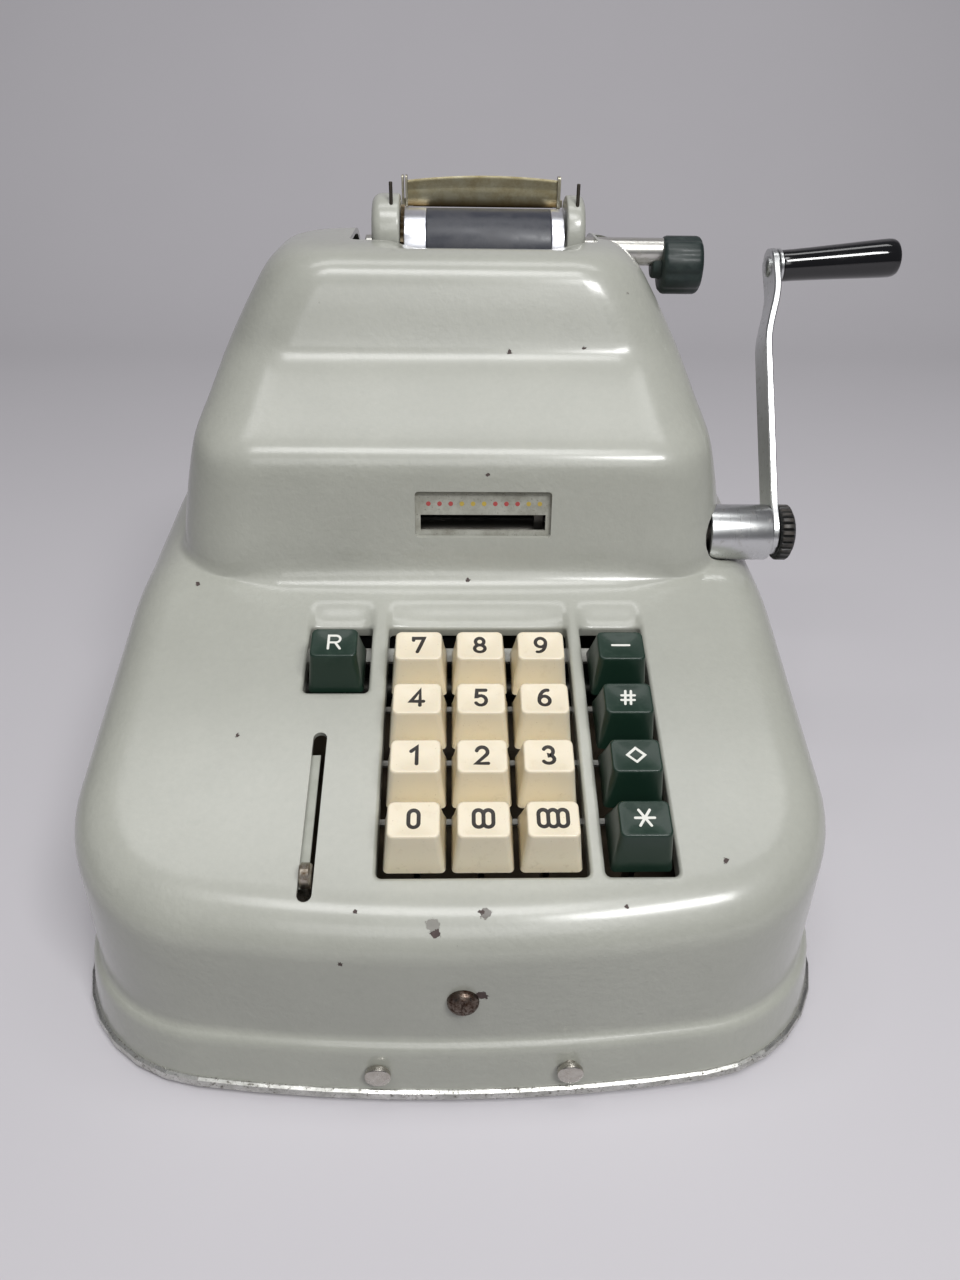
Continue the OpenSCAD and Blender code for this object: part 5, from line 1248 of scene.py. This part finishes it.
# Profile of the knob: distance from its inner face, change of radius, and depth of the flutes.
KNOB_SHAPE = [
    (-3.4, -7.0, 0), (-3.2, -6.2, 0), (-2.6, -5.7, 0), (-0.6, -5.6, 0), (-0.1, -5.2, 0), (0, -2.4, 0),
    (0.25, -1.2, 0.3), (0.9, -0.4, 0.8), (1.8, 0, 1), (13.2, 0, 1), (14.3, -0.35, 0.9), (15.0, -1.1, 0.5),
    (15.3, -2.2, 0.15), (15.25, -3.4, 0), (14.9, -6.5, 0), (14.8, -9.6, 0),
]
knob_mesh = bmesh.new()
knob_place = across(KNOB_X, PLATEN_Y, PLATEN_Z - KNOB_DROP)
ribbed(knob_mesh, KNOB_SHAPE, knob_place, KNOB_R, KNOB_FLUTES, FLUTE_STEPS,
       lambda wave: FLUTE_DEPTH * (0.5 + 0.5 * wave) ** 3)
KNOB_GREEN = (0.008, 0.018, 0.016)
knob_green = Finish("knob_green", KNOB_GREEN, coat=0.1, coat_roughness=0.2)
scuff = knob_green.step(knob_green.noise(3.4, 5, 0.7), 0.44, 0.7)
knob_green.tone(scuff * 0.7, KNOB_GREEN, (0.028, 0.042, 0.038))
knob_green.feed("Roughness", 0.42 + scuff * 0.2)
piece(knob_mesh, "knob", knob_green, "platen", ["platen_knob"], crease=45)

# Cheeks: cast side plates in the case's enamel, rounded over at the top and at their outer
# edges, standing on the two tie rods. The paper pins and the tear bar are fixed to them.
CHEEK_TOP, CHEEK_FOOT, CHEEK_ROUND = PLATEN_Z + 19.4, 147.0, 14.0
CHEEK_RIGHT_X, CHEEK_RIGHT_T = RING_END_RIGHT + 0.8, 6.9
TAIL_Y, TAIL_TOP = PLATEN_Y + 29, 181


def cheek_outline(less):
    """Side view of a cheek with its edge moved in, in Y and Z, anticlockwise."""
    r = CHEEK_ROUND - less
    middle = CHEEK_TOP - CHEEK_ROUND
    dome = [tuple(turned(PLATEN_Y, middle, r, math.pi * k / 16)) for k in range(17)]
    foot, tail, step = CHEEK_FOOT + less, TAIL_Y - less, TAIL_TOP - less
    heel = [(PLATEN_Y - r, foot), (tail, foot), (tail, step - 1.5), (tail - 1.5, step)]
    return heel + [(PLATEN_Y + CHEEK_ROUND + 2, step), (PLATEN_Y + r, step + 2)] + dome


def cheek(name, low, high, soft_low, soft_high):
    mesh = bmesh.new()
    turns = [math.pi / 2 * k / 5 for k in range(6)]
    levels = [(low + soft_low * (1 - math.cos(a)), soft_low * (1 - math.sin(a))) for a in turns]
    levels += [(high - soft_high * (1 - math.sin(a)), soft_high * (1 - math.cos(a))) for a in turns]
    lofted(mesh, [[Vector((x, y, z)) for y, z in cheek_outline(less)] for x, less in levels])
    plate = name.replace("cheek", "cheek_plate")
    piece(mesh, plate, cheek_paint, "chassis", [name], crease=40)


cheek_paint = enamel("cheek_enamel", worn=0.015)
cheek("cheek_left", CHEEK_LEFT_X - CHEEK_LEFT_T, CHEEK_LEFT_X, 3.6, 1.0)
cheek("cheek_right", CHEEK_RIGHT_X, CHEEK_RIGHT_X + CHEEK_RIGHT_T, 0.8, 2.6)

# Tear bar: a rolled brass strip bowed up in the middle, aged in patches, with its lower
# rim browned. It is held between two pairs of posts.
TEAR_Y, TEAR_LOW, TEAR_TOP, TEAR_BOW = PLATEN_Y + 10, PLATEN_Z + 13.2, 225.0, 260.0
TEAR_PALE, TEAR_AGED, TEAR_BROWN = (0.42, 0.39, 0.27), (0.22, 0.18, 0.09), (0.20, 0.12, 0.035)
TEAR_BROWNED = (0.2148, 0.2172)
tear_metal = Finish("tear_metal", TEAR_PALE, metallic=1.0)
aged = tear_metal.step(tear_metal.noise(9, 5, 0.7), 0.38, 0.68)
rise = tear_metal.node("ShaderNodeSeparateXYZ", sockets={0: tear_metal.place()}, out=2)
low_rim = 1 - tear_metal.step(rise, *TEAR_BROWNED)
tear_metal.tone(low_rim * 0.8, tear_metal.mix(aged, TEAR_PALE, TEAR_AGED), TEAR_BROWN)
tear_metal.feed("Roughness", 0.26 + tear_metal.grain(60, 900, 900, 4) * 0.16 + aged * 0.1)
# Rolled section of the strip: depth in millimetres, and height as a share of the strip's.
TEAR_SECTION = [
    (1.1, 0.0), (0.4, 0.06), (0.05, 0.2), (0.0, 0.4), (0.35, 0.6), (0.5, 0.77), (0.3, 0.89), (0.5, 0.965),
    (0.9, 1), (1.2, 0.965), (1.2, 0.77), (1.05, 0.6), (0.7, 0.4), (0.8, 0.2), (1.3, 0.09),
]
TEAR_LEFT, TEAR_RIGHT = RING_END_LEFT + 0.6, RING_END_RIGHT - 0.6
TEAR_FOOT, TEAR_FACE, TEAR_STEPS = TEAR_LOW + 0.4, TEAR_Y + 0.3, 40
tear_mesh = bmesh.new()
tear_rings = []
for k in range(TEAR_STEPS + 1):
    x = TEAR_LEFT + (TEAR_RIGHT - TEAR_LEFT) * k / TEAR_STEPS
    high = TEAR_TOP - (TEAR_BOW - math.sqrt(TEAR_BOW**2 - (x - UNIT_X) ** 2)) - TEAR_FOOT
    tear_rings.append([Vector((x, TEAR_FACE + y, TEAR_FOOT + high * z)) for y, z in TEAR_SECTION])
lofted(tear_mesh, tear_rings)
piece(tear_mesh, "tear_strip", tear_metal, "chassis", ["tear_bar"])

# Tear bar posts: thin upright plates of worn plated steel beside the cheeks, with a small
# foot on each side that carries the strip.
post_mesh = bmesh.new()
POSTS = [(CHEEK_LEFT_X + 0.1, 0.8), (CHEEK_LEFT_X + 1.5, 0.8), (CHEEK_RIGHT_X - 1.7, 0.7),
         (RING_END_RIGHT - 1.4, 0.6)]
post_outline = rounded(TEAR_Y + 1.2, (TEAR_LOW + TEAR_TOP) / 2, 4.0, TEAR_TOP - TEAR_LOW, 0.8, 3)
for x, t in POSTS:
    slab(post_mesh, post_outline, UPRIGHT, x, x + t, 0.12)
for low, high in ((CHEEK_LEFT_X, RING_END_LEFT + 3), (RING_END_RIGHT - 3, CHEEK_RIGHT_X)):
    foot = rounded((low + high) / 2, TEAR_Y + 1.7, high - low, 1.6, 0.3, 2)
    slab(post_mesh, foot, Matrix.Identity(4), TEAR_LOW + 0.6, TEAR_LOW + 3.2, 0.15)
post_metal = Finish("post_metal", (0.50, 0.48, 0.38), metallic=0.9, roughness=0.4)
post_metal.tone(post_metal.noise(2.5, 4), (0.58, 0.56, 0.47), (0.30, 0.26, 0.16))
piece(post_mesh, "tear_posts", post_metal, "chassis", ["tear_bar"], loose=1e-6)

# Paper pins: two plain dark wires that stand in the tops of the cheeks and keep the paper
# between them.
PIN_Y, PIN_LOW, PIN_L, PIN_R = PLATEN_Y - 8, PLATEN_Z + 10, 14, 0.65
wire = Finish("pin_wire", (0.09, 0.08, 0.065), metallic=1.0)
wire.gloss(0.36, 0.2, 2)
pin_mesh = bmesh.new()
for x in (CHEEK_LEFT_X - 3, CHEEK_RIGHT_X + CHEEK_RIGHT_T - 3.2):
    spun(pin_mesh, barrel(PIN_L, PIN_R, 0.3), Matrix.Translation((x, PIN_Y, PIN_LOW)), 20)
piece(pin_mesh, "paper_wires", wire, "chassis", ["paper_pins"], loose=1e-6)
